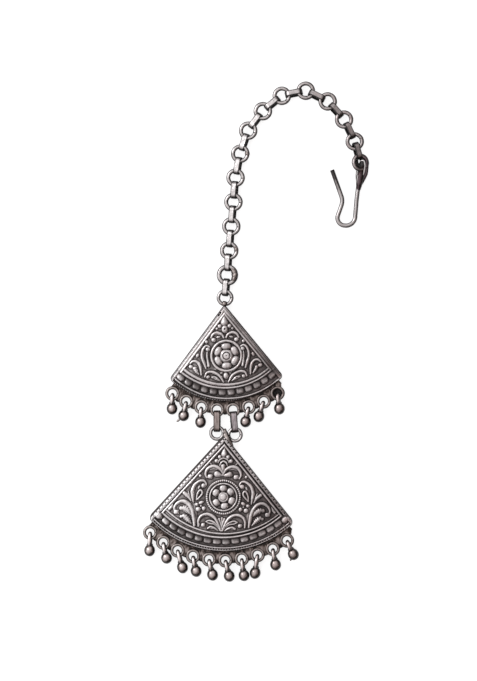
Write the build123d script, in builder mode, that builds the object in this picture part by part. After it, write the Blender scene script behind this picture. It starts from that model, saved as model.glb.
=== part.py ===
from build123d import *
import os
from dataclasses import dataclass
from math import asin, atan2, cos, degrees, hypot, radians, sin, sqrt

# Maang tikka: a hair jewel of darkened silver, laid flat. Two fan-shaped pendants with
# raised ornament hang one below the other, with ball drops along their round edges, on a
# chain of round rings and flat links that ends in a wire hair hook.
#
# Frame: millimetres. The jewel lies on the plane z = 0 with its ornament up (+Z). +Y runs
# from the lower fan to the chain, and the origin is under the lower fan's rosette.

# ---------------------------------------------------------------- driving sizes

# Fans
PLATE = 0.95            # back plate with its skirt
FIELD = 2.30            # height of the ornament's ground
EDGE_BEVEL = 0.35       # bevel round the fan's top edge
SKIRT = 1.05            # solder skirt beyond the round edge, which carries the ring loops
SKIRT_IN = 1.5          # how far the skirt stops inside the straight sides
SCROLL_ROUND = 1.18     # round end of a scroll, as a multiple of its width

# Ring loops soldered to the fans
EYELET_MID = 1.43
EYELET_WIRE = 0.355
EYELET_Z = PLATE + 0.30
TOP_LOOP_MID = 1.68     # the upper fan's loop for the chain
TOP_LOOP_WIRE = 0.42
TWIN_LOOP_MID = 1.56    # the lower fan's two loops
TWIN_LOOP_WIRE = 0.365

# Ball drops
BALL = 1.34
DROP_LOOP_MID = 1.04
DROP_LOOP_WIRE = 0.33
DROP_LOOP_STRAIGHT = 0.12   # least straight stretch between the loop's round ends
DROP_SLACK = 0.20       # play between a drop's loop and its eyelet
DROP_ROLL = 20          # degrees that a drop's loop leans

# Chain
RING_MID = 1.86
RING_WIRE = 0.39
FIRST_RING_MID = 2.12
FIRST_RING_JOINT = 0.56     # solder lump on the right of the first ring
CHAIN_Z = 1.24          # height of the chain's middle over the floor
FIRST_PITCH = 5.70
PITCH = 6.10
LAST_PITCH = 5.45
LINK_LENGTH = 4.50
LINK_HEIGHT = 2.32
LINK_STRIP = 0.30
LINK_WIDTH = 1.15
LINK_ROLL = 20
LAST_LINK_SLIDE = -0.30     # the last link lies nearer to the ring before it
LAST_RING_TILT = 24
LAST_RING_Z = 1.42

# Connecting links between the fans
CONNECTOR_LENGTH = 5.40
CONNECTOR_WIDTH = 1.36

# Hair hook
HOOK_WIRE = 0.55
EYE_WIRE = 0.45
EYE_LENGTH = 4.0
EYE_WIDTH = 2.5
EYE_ROLL = 34
EYE_HEADING = 8
EYE_CENTRE = (34.50, 81.60, 1.48)
BUNDLE_SECTIONS = (         # x, y, z, half width, half height, from the shank to the eye
    (33.45, 76.9, 0.55, 0.56, 0.56),
    (33.80, 78.6, 0.68, 0.88, 0.66),
    (34.30, 80.8, 0.90, 0.92, 0.62),
)


@dataclass(frozen=True)
class Fan:
    """Sizes of one fan pendant, about its rosette, with its apex up."""

    plane: Plane            # where the fan lies
    apex: float             # the sides' meeting point above the rosette
    axis: float             # the outline's axis, sideways from the rosette
    half_angle: float       # of the sides, in degrees
    radius: float           # of the round edge
    drop: float             # from the apex to the round edge's centre
    apex_round: float
    corner_round: float
    field_side: float       # border's ridge, in from the sides
    ridges: tuple           # ridges along the round edge, in from it: (inset, width)
    bead_inset: float
    bead_size: float
    bead_count: int
    bead_step: float        # degrees
    eyelet_radius: float
    eyelet_count: int
    eyelet_step: float      # degrees
    eyelet_middle: float    # degrees

    def arc_place(self, radius, angle):
        """A point at a radius about the round edge's centre, at an angle from its axis."""
        x = self.axis + radius * sin(radians(angle))
        y = self.apex - self.drop - radius * cos(radians(angle))
        return (x, y)

    def eyelet(self, number):
        """Centre of an eyelet, counted from the left."""
        turn = self.eyelet_middle + (number - (self.eyelet_count + 1) / 2) * self.eyelet_step
        return self.arc_place(self.eyelet_radius, turn)

    def world(self, point, height):
        """A point of the fan as a point of the whole jewel."""
        return self.plane.from_local_coords(Vector(*point, height))


UPPER = Fan(
    plane=Plane(Location((0.75, 35.4, 0), (0, 0, 1.5))),
    apex=12.8, axis=-0.30, half_angle=38.0, radius=20.3, drop=3.9,
    apex_round=0.7, corner_round=1.1, field_side=1.45,
    ridges=((0.80, 0.50), (3.45, 0.60), (4.25, 0.50)),
    bead_inset=2.15, bead_size=0.82, bead_count=12, bead_step=7.2,
    eyelet_radius=22.55, eyelet_count=8, eyelet_step=10.15, eyelet_middle=-1.35,
)
LOWER = Fan(
    plane=Plane(Location((0, 0, 0), (0, 0, -1.9))),
    apex=15.6, axis=-0.50, half_angle=40.7, radius=25.35, drop=3.8,
    apex_round=0.8, corner_round=1.5, field_side=1.60,
    ridges=((1.00, 0.50), (3.60, 0.60), (4.50, 0.45)),
    bead_inset=2.30, bead_size=0.88, bead_count=16, bead_step=5.79,
    eyelet_radius=27.6, eyelet_count=10, eyelet_step=8.5, eyelet_middle=-1.4,
)

# Scrolls of the left half, mirrored to the right: start, through, end, width
UPPER_SCROLLS = (
    ((-0.3, 4.5), (-1.9, 5.6), (-3.7, 4.5), 0.50),
    ((-5.3, -3.0), (-6.0, -0.4), (-5.5, 1.6), 0.55),
    ((-5.5, 1.6), (-5.1, 2.3), (-4.4, 2.4), 0.45),
    ((-4.8, -2.6), (-4.9, -1.2), (-4.5, 0.1), 0.35),
    ((-6.1, -4.8), (-6.6, -3.0), (-8.0, -1.5), 0.50),
    ((-8.0, -1.5), (-8.9, -1.9), (-9.3, -2.7), 0.35),
    ((-0.9, -6.0), (-3.3, -4.4), (-5.4, -5.2), 0.45),
)
LOWER_SCROLLS = (
    ((-0.1, 5.5), (-2.4, 7.6), (-4.5, 6.2), 0.55),
    ((-4.5, 6.2), (-4.7, 5.4), (-4.2, 4.8), 0.40),
    ((-7.5, -1.5), (-8.1, 1.4), (-6.3, 4.0), 0.55),
    ((-6.3, 4.0), (-5.2, 4.0), (-4.6, 3.2), 0.40),
    ((-6.3, -0.8), (-6.6, 0.6), (-5.9, 1.9), 0.35),
    ((-7.0, -7.7), (-7.7, -3.4), (-9.9, -1.4), 0.60),
    ((-9.9, -1.4), (-11.3, -1.5), (-12.2, -2.8), 0.50),
    ((-10.0, -3.1), (-8.9, -3.5), (-8.3, -4.5), 0.50),
    ((-10.0, -5.1), (-8.9, -5.5), (-8.3, -6.4), 0.45),
    ((-0.4, -8.0), (-1.8, -5.2), (-4.2, -4.2), 0.45),
    ((-4.2, -4.2), (-5.7, -4.8), (-5.9, -7.0), 0.45),
    ((-1.8, -7.9), (-2.6, -6.4), (-4.0, -5.9), 0.35),
)
# Small balls of the left half, mirrored to the right: x, y, size
UPPER_BALLS = (
    (-1.5, 7.1, 0.40), (-3.3, 3.7, 0.55), (-4.55, 3.4, 0.40), (-4.3, 1.6, 0.50),
    (-8.6, -2.8, 0.50), (-7.5, -3.7, 0.50), (-2.9, -5.7, 0.42), (-4.5, -5.9, 0.38),
)
LOWER_BALLS = (
    (-1.25, 9.8, 0.42), (-1.9, 8.7, 0.42), (-3.3, 4.9, 0.52), (-1.7, 5.5, 0.45),
    (-5.5, 5.1, 0.40), (-4.9, 2.7, 0.50), (-6.3, -2.4, 0.34), (-5.2, -2.6, 0.34),
    (-5.7, -1.9, 0.34), (-5.7, -3.1, 0.34), (-11.5, -4.0, 0.52), (-13.0, -3.0, 0.34),
    (-9.0, -0.3, 0.40), (-4.8, -7.0, 0.42), (-3.2, -7.3, 0.34),
)
# Pieces on the fan's axis: y, size
UPPER_AXIS_BALLS = ((8.5, 0.62), (6.4, 0.60), (-5.1, 0.48))
LOWER_AXIS_BALLS = ((11.0, 0.58), (7.6, 0.50), (-6.0, 0.55), (-7.3, 0.38))
# Rosette: ring radii with their widths, petal circle, petal and boss sizes
UPPER_ROSETTE = {"rings": ((3.80, 0.60), (1.40, 0.40)), "petals": 2.42, "petal": 0.80, "boss": 0.72}
LOWER_ROSETTE = {"rings": ((4.30, 0.45), (3.65, 0.40), (1.30, 0.25)), "petals": 2.30, "petal": 0.78,
                 "boss": 0.98}

# Milled bumps along the lower fan's sides
BUMP_STEP = 1.07
BUMP = (0.62, 0.66, 0.70)
BUMP_INSET = 0.68

# Drops: eyelet number, lean from straight down (degrees, right is positive), distance
UPPER_DROPS = ((1, -2, 3.80), (2, -11, 3.55), (3, -3, 3.73), (6, -12, 3.76), (7, -18, 3.95),
               (8, 7, 3.88))
LOWER_DROPS = ((1, -2, 4.45), (2, 12, 3.96), (3, 16, 4.40), (4, 12, 3.84), (5, 13, 3.92),
               (6, 14, 4.00), (7, 8, 4.15), (8, -8, 4.50), (9, 10, 4.00), (10, 25, 3.80))
# Stray ends of solder wire on two of the balls: side to which each points, length
WIRE_ENDS = {("upper", 2): (-48, 0.95), ("lower", 10): (-24, 0.35)}
WIRE_END_SIZE = 0.42

# Chain: heading of each step from the upper fan's loop, clockwise from +Y
HEADINGS = (5, 5, 5, 5, 5, 11, 19, 37, 51, 78, 116, 138, 154, 165)

# Hair hook's corners from tip to shank, with the radius of each bend
HOOK_CORNERS = ((27.0, 81.75), (29.75, 74.0), (27.6, 67.95), (32.6, 67.75), (33.1, 74.5),
                (33.75, 79.6))
HOOK_BENDS = (3.5, 1.9, 2.3, 18.0)


# ---------------------------------------------------------------- shared shapes

def save(block, name):
    """Label a finished piece and write it to its own file."""
    block.part.label = name
    export_step(block.part, f"parts/{name}.step")


def fan_outline(fan, side_inset=0.0, round_inset=0.0):
    """Sketch of a fan, drawn in by the insets from its sides and its round edge."""
    half = radians(fan.half_angle)
    shift = side_inset / sin(half)
    apex = fan.apex - shift
    drop = fan.drop - shift
    radius = fan.radius - round_inset
    side = drop * cos(half) + sqrt(radius**2 - (drop * sin(half)) ** 2)
    left = (fan.axis - side * sin(half), apex - side * cos(half))
    right = (fan.axis + side * sin(half), apex - side * cos(half))
    bottom = (fan.axis, apex - drop - radius)
    with BuildSketch() as outline:
        with BuildLine():
            Line((fan.axis, apex), left)
            ThreePointArc(left, bottom, right)
            Line(right, (fan.axis, apex))
        make_face()
        corners = outline.vertices().sort_by(Axis.Y)
        fillet(corners[:2], fan.corner_round)
        fillet(outline.vertices().sort_by(Axis.Y)[-1], fan.apex_round)
    return outline.sketch


def raised_wire(path, width):
    """Half-round ridge that follows a path lying on the ornament's ground."""
    with BuildSketch(Plane(origin=path @ 0, z_dir=path % 0)) as section:
        Circle(width / 2)
    sweep(section.sketch, path=path)


def scrollwork(scrolls, balls, axis_balls, rosette):
    """Raised ornament of a fan: mirrored scrolls and balls, and the rosette."""
    with BuildPart() as half:
        for start, through, end, width in scrolls:
            with BuildLine(Plane.XY.offset(FIELD)) as stroke:
                ThreePointArc(start, through, end)
            raised_wire(stroke.line, width)
            with Locations((*start, FIELD), (*end, FIELD)):
                Sphere(SCROLL_ROUND * width / 2)
        for x, y, size in balls:
            with Locations((x, y, FIELD - 0.12)):
                Sphere(size)
        mirror(about=Plane.YZ)
    with BuildPart() as middle:
        for y, size in axis_balls:
            with Locations((0, y, FIELD - 0.10)):
                Sphere(size)
        with Locations((0, 0, FIELD)):
            for radius, width in rosette["rings"]:
                Torus(radius, width / 2)
        with Locations((0, 0, FIELD - 0.20)):
            Sphere(rosette["boss"])
            with PolarLocations(rosette["petals"], 6, start_angle=30):
                Sphere(rosette["petal"])
    return half.part, middle.part


def fan_pendant(fan, scrolls, balls, axis_balls, rosette, bumps):
    """One fan pendant: back plate, body, border, beads, ornament and eyelets."""
    with BuildPart() as pendant:
        extrude(fan_outline(fan), amount=FIELD)
        chamfer(pendant.faces().sort_by(Axis.Z)[-1].edges(), EDGE_BEVEL)
        extrude(fan_outline(fan, SKIRT_IN, -SKIRT), amount=PLATE)
        ridge_path = fan_outline(fan, fan.field_side, fan.ridges[1][0]).face().outer_wire()
        raised_wire(ridge_path.moved(Location((0, 0, FIELD))), fan.ridges[1][1])
        for inset, width in (fan.ridges[0], fan.ridges[2]):
            with BuildLine(Plane.XY.offset(FIELD)) as ridge:
                reach = ridge_reach(fan, inset)
                ThreePointArc(*(fan.arc_place(fan.radius - inset, turn) for turn in (-reach, 0, reach)))
            raised_wire(ridge.line, width)
        turns = [(number - (fan.bead_count - 1) / 2) * fan.bead_step for number in range(fan.bead_count)]
        beads = [fan.arc_place(fan.radius - fan.bead_inset, turn) for turn in turns]
        with Locations(*((*bead, FIELD - 0.28) for bead in beads)):
            Sphere(fan.bead_size)
        for relief in scrollwork(scrolls, balls, axis_balls, rosette):
            add(relief)
        if bumps:
            add(milled_bumps(fan))
        eyelets = [fan.eyelet(number + 1) for number in range(fan.eyelet_count)]
        with Locations(*((*eyelet, EYELET_Z) for eyelet in eyelets)):
            Torus(EYELET_MID, EYELET_WIRE)
    return pendant.part


def ridge_reach(fan, inset):
    """Half the angle over which a ridge along the round edge runs inside the sides."""
    half = radians(fan.half_angle)
    side_gap = fan.field_side if inset > 1.5 else 0.75
    offset = fan.drop * sin(half) - side_gap
    return fan.half_angle + degrees(asin(offset / (fan.radius - inset)))


def milled_bumps(fan):
    """Row of square bumps along each straight side."""
    half = radians(fan.half_angle)
    length = fan.radius - 2.0
    count = int(length / BUMP_STEP)
    with BuildPart() as bumps:
        for side in (-1, 1):
            for number in range(count):
                along = 3.2 + number * BUMP_STEP
                x = fan.axis + side * (along * sin(half) - BUMP_INSET * cos(half))
                y = fan.apex - along * cos(half) - BUMP_INSET * sin(half)
                with Locations(Location((x, y, FIELD - 0.12), (0, 0, side * fan.half_angle))):
                    Box(*BUMP)
    return bumps.part


def ring_loop(plane, mid, wire, joint):
    """Round wire ring, with a solder lump at its right where the joint has a size."""
    with BuildPart(plane) as ring:
        Torus(mid, wire)
        if joint:
            with Locations(Location((0.1, -mid - 0.05, 0.05), (0, 90, 20))):
                Sphere(joint)
    return ring


def long_loop(plane, length, mid, wire):
    """Closed wire loop with two straight sides, in a plane, as a solid."""
    straight = length / 2
    with BuildPart() as loop:
        with BuildLine(plane) as path:
            Line((-straight, -mid), (straight, -mid))
            CenterArc((straight, 0), mid, -90, 180)
            Line((straight, mid), (-straight, mid))
            CenterArc((-straight, 0), mid, 90, 180)
        with BuildSketch(Plane(origin=path.line @ 0, z_dir=path.line % 0)):
            Circle(wire)
        sweep()
    return loop.part


def upright_plane(origin, heading, roll):
    """Plane along a heading (degrees clockwise from +Y), on edge and rolled about it."""
    along = Vector(sin(radians(heading)), cos(radians(heading)), 0)
    right = Vector(along.Y, -along.X, 0)
    normal = right * cos(radians(roll)) + Vector(0, 0, 1) * sin(radians(roll))
    return Plane(origin=origin, x_dir=along, z_dir=normal)


def flat_link(start, end, start_mid, end_mid, sizes, roll, slide=0.0):
    """Flat-strip link hooked round the near wires of two rings."""
    length, width = sizes
    step = end - start
    heading = degrees(atan2(step.X, step.Y))
    along = step.normalized()
    middle = (start + along * start_mid + end - along * end_mid) * 0.5 + along * slide
    with BuildPart() as link:
        with BuildSketch(upright_plane(Vector(middle.X, middle.Y, CHAIN_Z), heading, roll)):
            SlotOverall(length, LINK_HEIGHT)
            SlotOverall(length - 2 * LINK_STRIP, LINK_HEIGHT - 2 * LINK_STRIP, mode=Mode.SUBTRACT)
        extrude(amount=width / 2, both=True)
    return link


def ball_drop(fan, number, lean, distance, wire_end):
    """Ball with its wire loop through a fan's eyelet, and its stray wire end if it has one."""
    eyelet = fan.world(fan.eyelet(number), 0)
    heading = radians(lean)
    down = Vector(sin(heading), -cos(heading), 0)
    ball = eyelet + down * distance
    bearing = distance - EYELET_MID
    far = bearing + EYELET_WIRE + DROP_LOOP_WIRE + DROP_SLACK
    near = min(BALL - 0.05, far - 2 * DROP_LOOP_MID - DROP_LOOP_STRAIGHT)
    middle = ball - down * ((near + far) / 2) + Vector(0, 0, DROP_LOOP_MID + DROP_LOOP_WIRE)
    plane = upright_plane(middle, degrees(atan2(-down.X, -down.Y)), DROP_ROLL)
    with BuildPart() as drop:
        with Locations((ball.X, ball.Y, BALL)):
            Sphere(BALL)
        add(long_loop(plane, far - near - 2 * DROP_LOOP_MID, DROP_LOOP_MID, DROP_LOOP_WIRE))
        if wire_end:
            side, length = wire_end
            out = Vector(sin(radians(side)), -cos(radians(side)), 0)
            root = Vector(ball.X, ball.Y, BALL) + out * (BALL - 0.3)
            with Locations(Plane(origin=root, z_dir=out)):
                Cone(WIRE_END_SIZE, WIRE_END_SIZE / 3, length + 0.3,
                     align=(Align.CENTER, Align.CENTER, Align.MIN))
    return drop


os.makedirs("parts", exist_ok=True)

# ---------------------------------------------------------------- the two fans

top_loop_local = (UPPER.axis + 0.2, UPPER.apex + 1.60)
with BuildPart(UPPER.plane) as upper_fan:
    add(fan_pendant(UPPER, UPPER_SCROLLS, UPPER_BALLS, UPPER_AXIS_BALLS, UPPER_ROSETTE, False))
    with Locations((*top_loop_local, CHAIN_Z)):
        Torus(TOP_LOOP_MID, TOP_LOOP_WIRE)
save(upper_fan, "upper_fan")

twin_loops = [(-2.28, 15.95), (2.22, 15.65)]
with BuildPart(LOWER.plane) as lower_fan:
    add(fan_pendant(LOWER, LOWER_SCROLLS, LOWER_BALLS, LOWER_AXIS_BALLS, LOWER_ROSETTE, True))
    with Locations(*((*loop, EYELET_Z) for loop in twin_loops)):
        Torus(TWIN_LOOP_MID, TWIN_LOOP_WIRE)
    with Locations((-0.25, 15.1, EYELET_Z)):
        Sphere(1.05)
save(lower_fan, "lower_fan")

# ---------------------------------------------------------------- connecting links

for name, eyelet, loop in (("left_connector", 4, twin_loops[0]), ("right_connector", 5, twin_loops[1])):
    connector = flat_link(
        UPPER.world(UPPER.eyelet(eyelet), 0), LOWER.world(loop, 0), EYELET_MID, TWIN_LOOP_MID,
        (CONNECTOR_LENGTH, CONNECTOR_WIDTH), 0,
    )
    save(connector, name)

# ---------------------------------------------------------------- ball drops

for row, fan, drops in (("upper", UPPER, UPPER_DROPS), ("lower", LOWER, LOWER_DROPS)):
    for order, (number, lean, distance) in enumerate(drops, 1):
        drop = ball_drop(fan, number, lean, distance, WIRE_ENDS.get((row, order)))
        save(drop, f"{row}_drop_{order:02d}")

# ---------------------------------------------------------------- chain

place = UPPER.world(top_loop_local, 0)
last_mid = TOP_LOOP_MID
for number, heading in enumerate(HEADINGS, 1):
    first = number == 1
    last = number == len(HEADINGS)
    mid = FIRST_RING_MID if first else RING_MID
    step = FIRST_PITCH if first else LAST_PITCH if last else PITCH
    centre = place + Vector(sin(radians(heading)), cos(radians(heading)), 0) * step
    slide = LAST_LINK_SLIDE if last else 0.0
    link = flat_link(place, centre, last_mid, mid, (LINK_LENGTH, LINK_WIDTH), LINK_ROLL, slide)
    save(link, f"chain_link_{number:02d}")
    level = Vector(centre.X, centre.Y, LAST_RING_Z if last else CHAIN_Z)
    ring_plane = upright_plane(level, heading, 90 + LAST_RING_TILT if last else 90)
    joint = FIRST_RING_JOINT if first else 0.0
    save(ring_loop(ring_plane, mid, RING_WIRE, joint), f"chain_ring_{number:02d}")
    place = centre
    last_mid = mid

# ---------------------------------------------------------------- hair hook

with BuildPart() as hair_hook:
    with BuildLine(Plane.XY.offset(HOOK_WIRE)) as bend:
        FilletPolyline(*HOOK_CORNERS, radius=HOOK_BENDS)
    with BuildSketch(Plane(origin=bend.line @ 0, z_dir=bend.line % 0)):
        Circle(HOOK_WIRE)
    sweep()
    eye_plane = upright_plane(Vector(*EYE_CENTRE), EYE_HEADING, -EYE_ROLL)
    add(long_loop(eye_plane, EYE_LENGTH - EYE_WIDTH, EYE_WIDTH / 2, EYE_WIRE))
    eye_way = Vector(sin(radians(EYE_HEADING)), cos(radians(EYE_HEADING)), 0)
    for x, y, z, half_width, half_height in BUNDLE_SECTIONS:
        with BuildSketch(Plane(origin=(x, y, z), x_dir=(eye_way.Y, -eye_way.X, 0), z_dir=eye_way)):
            Ellipse(half_width, half_height)
    loft()
save(hair_hook, "hair_hook")
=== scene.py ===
"""Looks of a maang tikka, a hair jewel of darkened silver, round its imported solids.

Sizes are in millimetres in this file and become metres when a mesh is made. The frame is
the solids' own: the jewel lies on z = 0 with its ornament up, and +Y runs to the chain.
"""

from __future__ import annotations

import logging
import math
from dataclasses import dataclass, replace
from enum import Enum
from functools import lru_cache
from typing import Any, Iterable, Sequence

import bpy
import numpy as np
from mathutils import Euler, Matrix, Vector
from mathutils.geometry import delaunay_2d_cdt

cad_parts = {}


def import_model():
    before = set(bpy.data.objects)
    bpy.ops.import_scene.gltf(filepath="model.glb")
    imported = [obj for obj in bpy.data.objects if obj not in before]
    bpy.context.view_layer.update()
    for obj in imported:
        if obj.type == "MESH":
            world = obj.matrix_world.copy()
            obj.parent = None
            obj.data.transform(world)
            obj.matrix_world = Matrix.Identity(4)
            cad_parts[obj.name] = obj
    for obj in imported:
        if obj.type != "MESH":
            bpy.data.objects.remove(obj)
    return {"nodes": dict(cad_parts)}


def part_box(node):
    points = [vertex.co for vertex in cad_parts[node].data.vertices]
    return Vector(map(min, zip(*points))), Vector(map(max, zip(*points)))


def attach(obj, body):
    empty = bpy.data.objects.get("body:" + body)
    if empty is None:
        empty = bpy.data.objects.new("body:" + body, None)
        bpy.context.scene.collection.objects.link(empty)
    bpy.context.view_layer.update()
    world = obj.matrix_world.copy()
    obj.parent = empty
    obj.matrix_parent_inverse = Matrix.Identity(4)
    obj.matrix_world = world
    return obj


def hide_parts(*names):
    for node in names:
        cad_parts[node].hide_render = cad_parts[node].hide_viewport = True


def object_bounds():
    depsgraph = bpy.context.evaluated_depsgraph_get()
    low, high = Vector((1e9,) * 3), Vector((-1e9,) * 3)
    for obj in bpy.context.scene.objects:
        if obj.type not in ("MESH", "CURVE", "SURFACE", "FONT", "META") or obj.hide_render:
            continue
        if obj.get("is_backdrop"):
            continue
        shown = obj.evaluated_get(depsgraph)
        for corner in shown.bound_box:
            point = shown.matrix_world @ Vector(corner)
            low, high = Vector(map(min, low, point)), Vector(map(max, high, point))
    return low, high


log = logging.getLogger("maang_tikka")

MM = 0.001

Point = tuple[float, float]
Corner = tuple[float, float, float, float, float]      # x, y, z, bend radius and girth
Material = bpy.types.Material
Piece = bpy.types.Object
Socket = bpy.types.NodeSocket

# Attributes that the meshes and their guides carry
WEAR_AND_SHADE = "wear_and_shade"           # how far a place is polished bright, less painted shade
RECESS_AND_SHADE = "recess_and_shade"       # how dark a place is kept: sulphide that stayed, and painted shade
TURN = "turn"           # how a repeated shape is turned
SIZE = "size"           # and how large it is
BEND = "bend"           # bend radius at a wire's corner
GIRTH = "girth"         # and the wire's thickness there, over its usual one

# Hand work
DRAWS = 64              # random draws along each side of the square that unevenness repeats
HAND_WAVE = 0.9         # mm, width of the unevenness of bent wire and solder
FULL_TOP = 0.62         # power that gives a chased line its full, rounded top
FULLNESS = 1.50         # how much the chasing tool spreads a stroke
SWELL = 1.24            # and how much it spreads a dome
FLAT = Euler((0, 0, 0))     # turn of a ring that lies flat


# ---------------------------------------------------------------- small shared tools

def linear(colour: str) -> tuple[float, float, float, float]:
    """Turn an sRGB hex colour into linear light.

    Args:
        colour: Six hex digits after a hash.

    Returns:
        Red, green, blue and an alpha of one.
    """
    parts = [int(colour[i:i + 2], 16) / 255 for i in (1, 3, 5)]
    light = [p / 12.92 if p <= 0.04045 else ((p + 0.055) / 1.055) ** 2.4 for p in parts]
    return (*light, 1.0)


def add_node(tree: bpy.types.NodeTree, kind: str, inputs: dict[Any, Any] | None = None,
             **settings: Any) -> bpy.types.Node:
    """Add a node with its settings and its links.

    Args:
        tree: The shader or geometry tree.
        kind: The node's type name.
        inputs: Values or sockets for its inputs, by name or number.
        settings: The node's own properties.

    Returns:
        The new node.
    """
    node = tree.nodes.new(kind)
    for key, value in settings.items():
        setattr(node, key, value)
    for key, value in (inputs or {}).items():
        if isinstance(value, Socket):
            tree.links.new(value, node.inputs[key])
        else:
            node.inputs[key].default_value = value
    return node


def smoothstep(low: float, high: float, value: np.ndarray) -> np.ndarray:
    """Ease from 0 at low to 1 at high."""
    t = np.clip((value - low) / (high - low), 0.0, 1.0)
    return t * t * (3 - 2 * t)


@lru_cache
def drawn_square(seed: int) -> np.ndarray:
    """A square of random draws from -1 to 1."""
    return np.random.default_rng(seed).uniform(-1, 1, (DRAWS, DRAWS))


@dataclass(frozen=True)
class Waver:
    """Smooth unevenness over a plane, as hand work leaves it."""

    depth: float
    size: float             # mm, width of a bump
    seed: int

    def over(self, points: np.ndarray) -> np.ndarray:
        """How far each place is off.

        Args:
            points: Places, one row each.

        Returns:
            Values from about -depth to depth.
        """
        grid = drawn_square(self.seed)
        at = points / self.size
        corner = np.floor(at).astype(int)
        part = at - corner
        ease = part * part * (3 - 2 * part)
        value = np.zeros(len(points))
        for dx in (0, 1):
            for dy in (0, 1):
                weight = ease[:, 0] if dx else 1 - ease[:, 0]
                weight = weight * (ease[:, 1] if dy else 1 - ease[:, 1])
                value += weight * grid[(corner[:, 0] + dx) % DRAWS, (corner[:, 1] + dy) % DRAWS]
        return self.depth * value


def arc_points(middle: np.ndarray, radius: float, angles: Iterable[float]) -> list[np.ndarray]:
    """Points of an arc, at angles in degrees from +X, one for each angle."""
    return [middle + radius * np.array([math.cos(turn), math.sin(turn)])
            for turn in map(math.radians, angles)]


def flowing(path: Sequence[Point], steps: int = 9) -> np.ndarray:
    """Run a smooth line through a stroke's points.

    Args:
        path: The points in order.
        steps: Short runs between one point and the next.

    Returns:
        Points along the line, one row each.
    """
    knots = np.array(path, float)
    if len(knots) < 3:
        return knots
    knots = np.vstack([2 * knots[0] - knots[1], knots, 2 * knots[-1] - knots[-2]])
    line = []
    for a, b, c, d in zip(knots, knots[1:], knots[2:], knots[3:]):
        for t in np.linspace(0, 1, steps, endpoint=False):
            line.append(0.5 * (2 * b + (c - a) * t + (2 * a - 5 * b + 4 * c - d) * t * t
                               + (3 * b - a - 3 * c + d) * t ** 3))
    return np.array([*line, knots[-2]])


def mesh_piece(name: str, vertices: np.ndarray, faces: list[list[int]], material: Material,
               wear_and_shade: np.ndarray | None = None) -> Piece:
    """Make a mesh object at the origin from points in millimetres.

    Args:
        name: The piece's name.
        vertices: Points, one row each.
        faces: Corner numbers of each face.
        material: Its finish.
        wear_and_shade: How far each point is polished bright, less painted shade, from 0 to 1.

    Returns:
        The object, in the scene.
    """
    mesh = bpy.data.meshes.new(name)
    mesh.from_pydata((np.asarray(vertices, float) * MM).tolist(), [], faces)
    if wear_and_shade is not None:
        layer = mesh.attributes.new(WEAR_AND_SHADE, "FLOAT", "POINT")
        layer.data.foreach_set("value", np.asarray(wear_and_shade, np.float32))
    mesh.materials.append(material)
    mesh.shade_smooth()
    piece = bpy.data.objects.new(name, mesh)
    bpy.context.scene.collection.objects.link(piece)
    return piece


def place_piece(piece: Piece, nodes: Iterable[str]) -> None:
    """Hang a finished piece on the frame in place of its solids.

    Args:
        piece: The finished mesh object.
        nodes: The solids that it stands for.
    """
    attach(piece, "root")
    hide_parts(*nodes)
    log.info("%s: %d faces", piece.name, len(piece.data.polygons))


# ---------------------------------------------------------------- finishes

class RubbingAndShade(Enum):
    """What tells a finish where it has been polished, and where highlight and shade are painted."""

    RELIEF = "height of the ornament"
    # painted light: tops facing the light are painted as highlight and the flanks as shade
    FACING_LIGHT = "how far the surface faces up"


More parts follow.
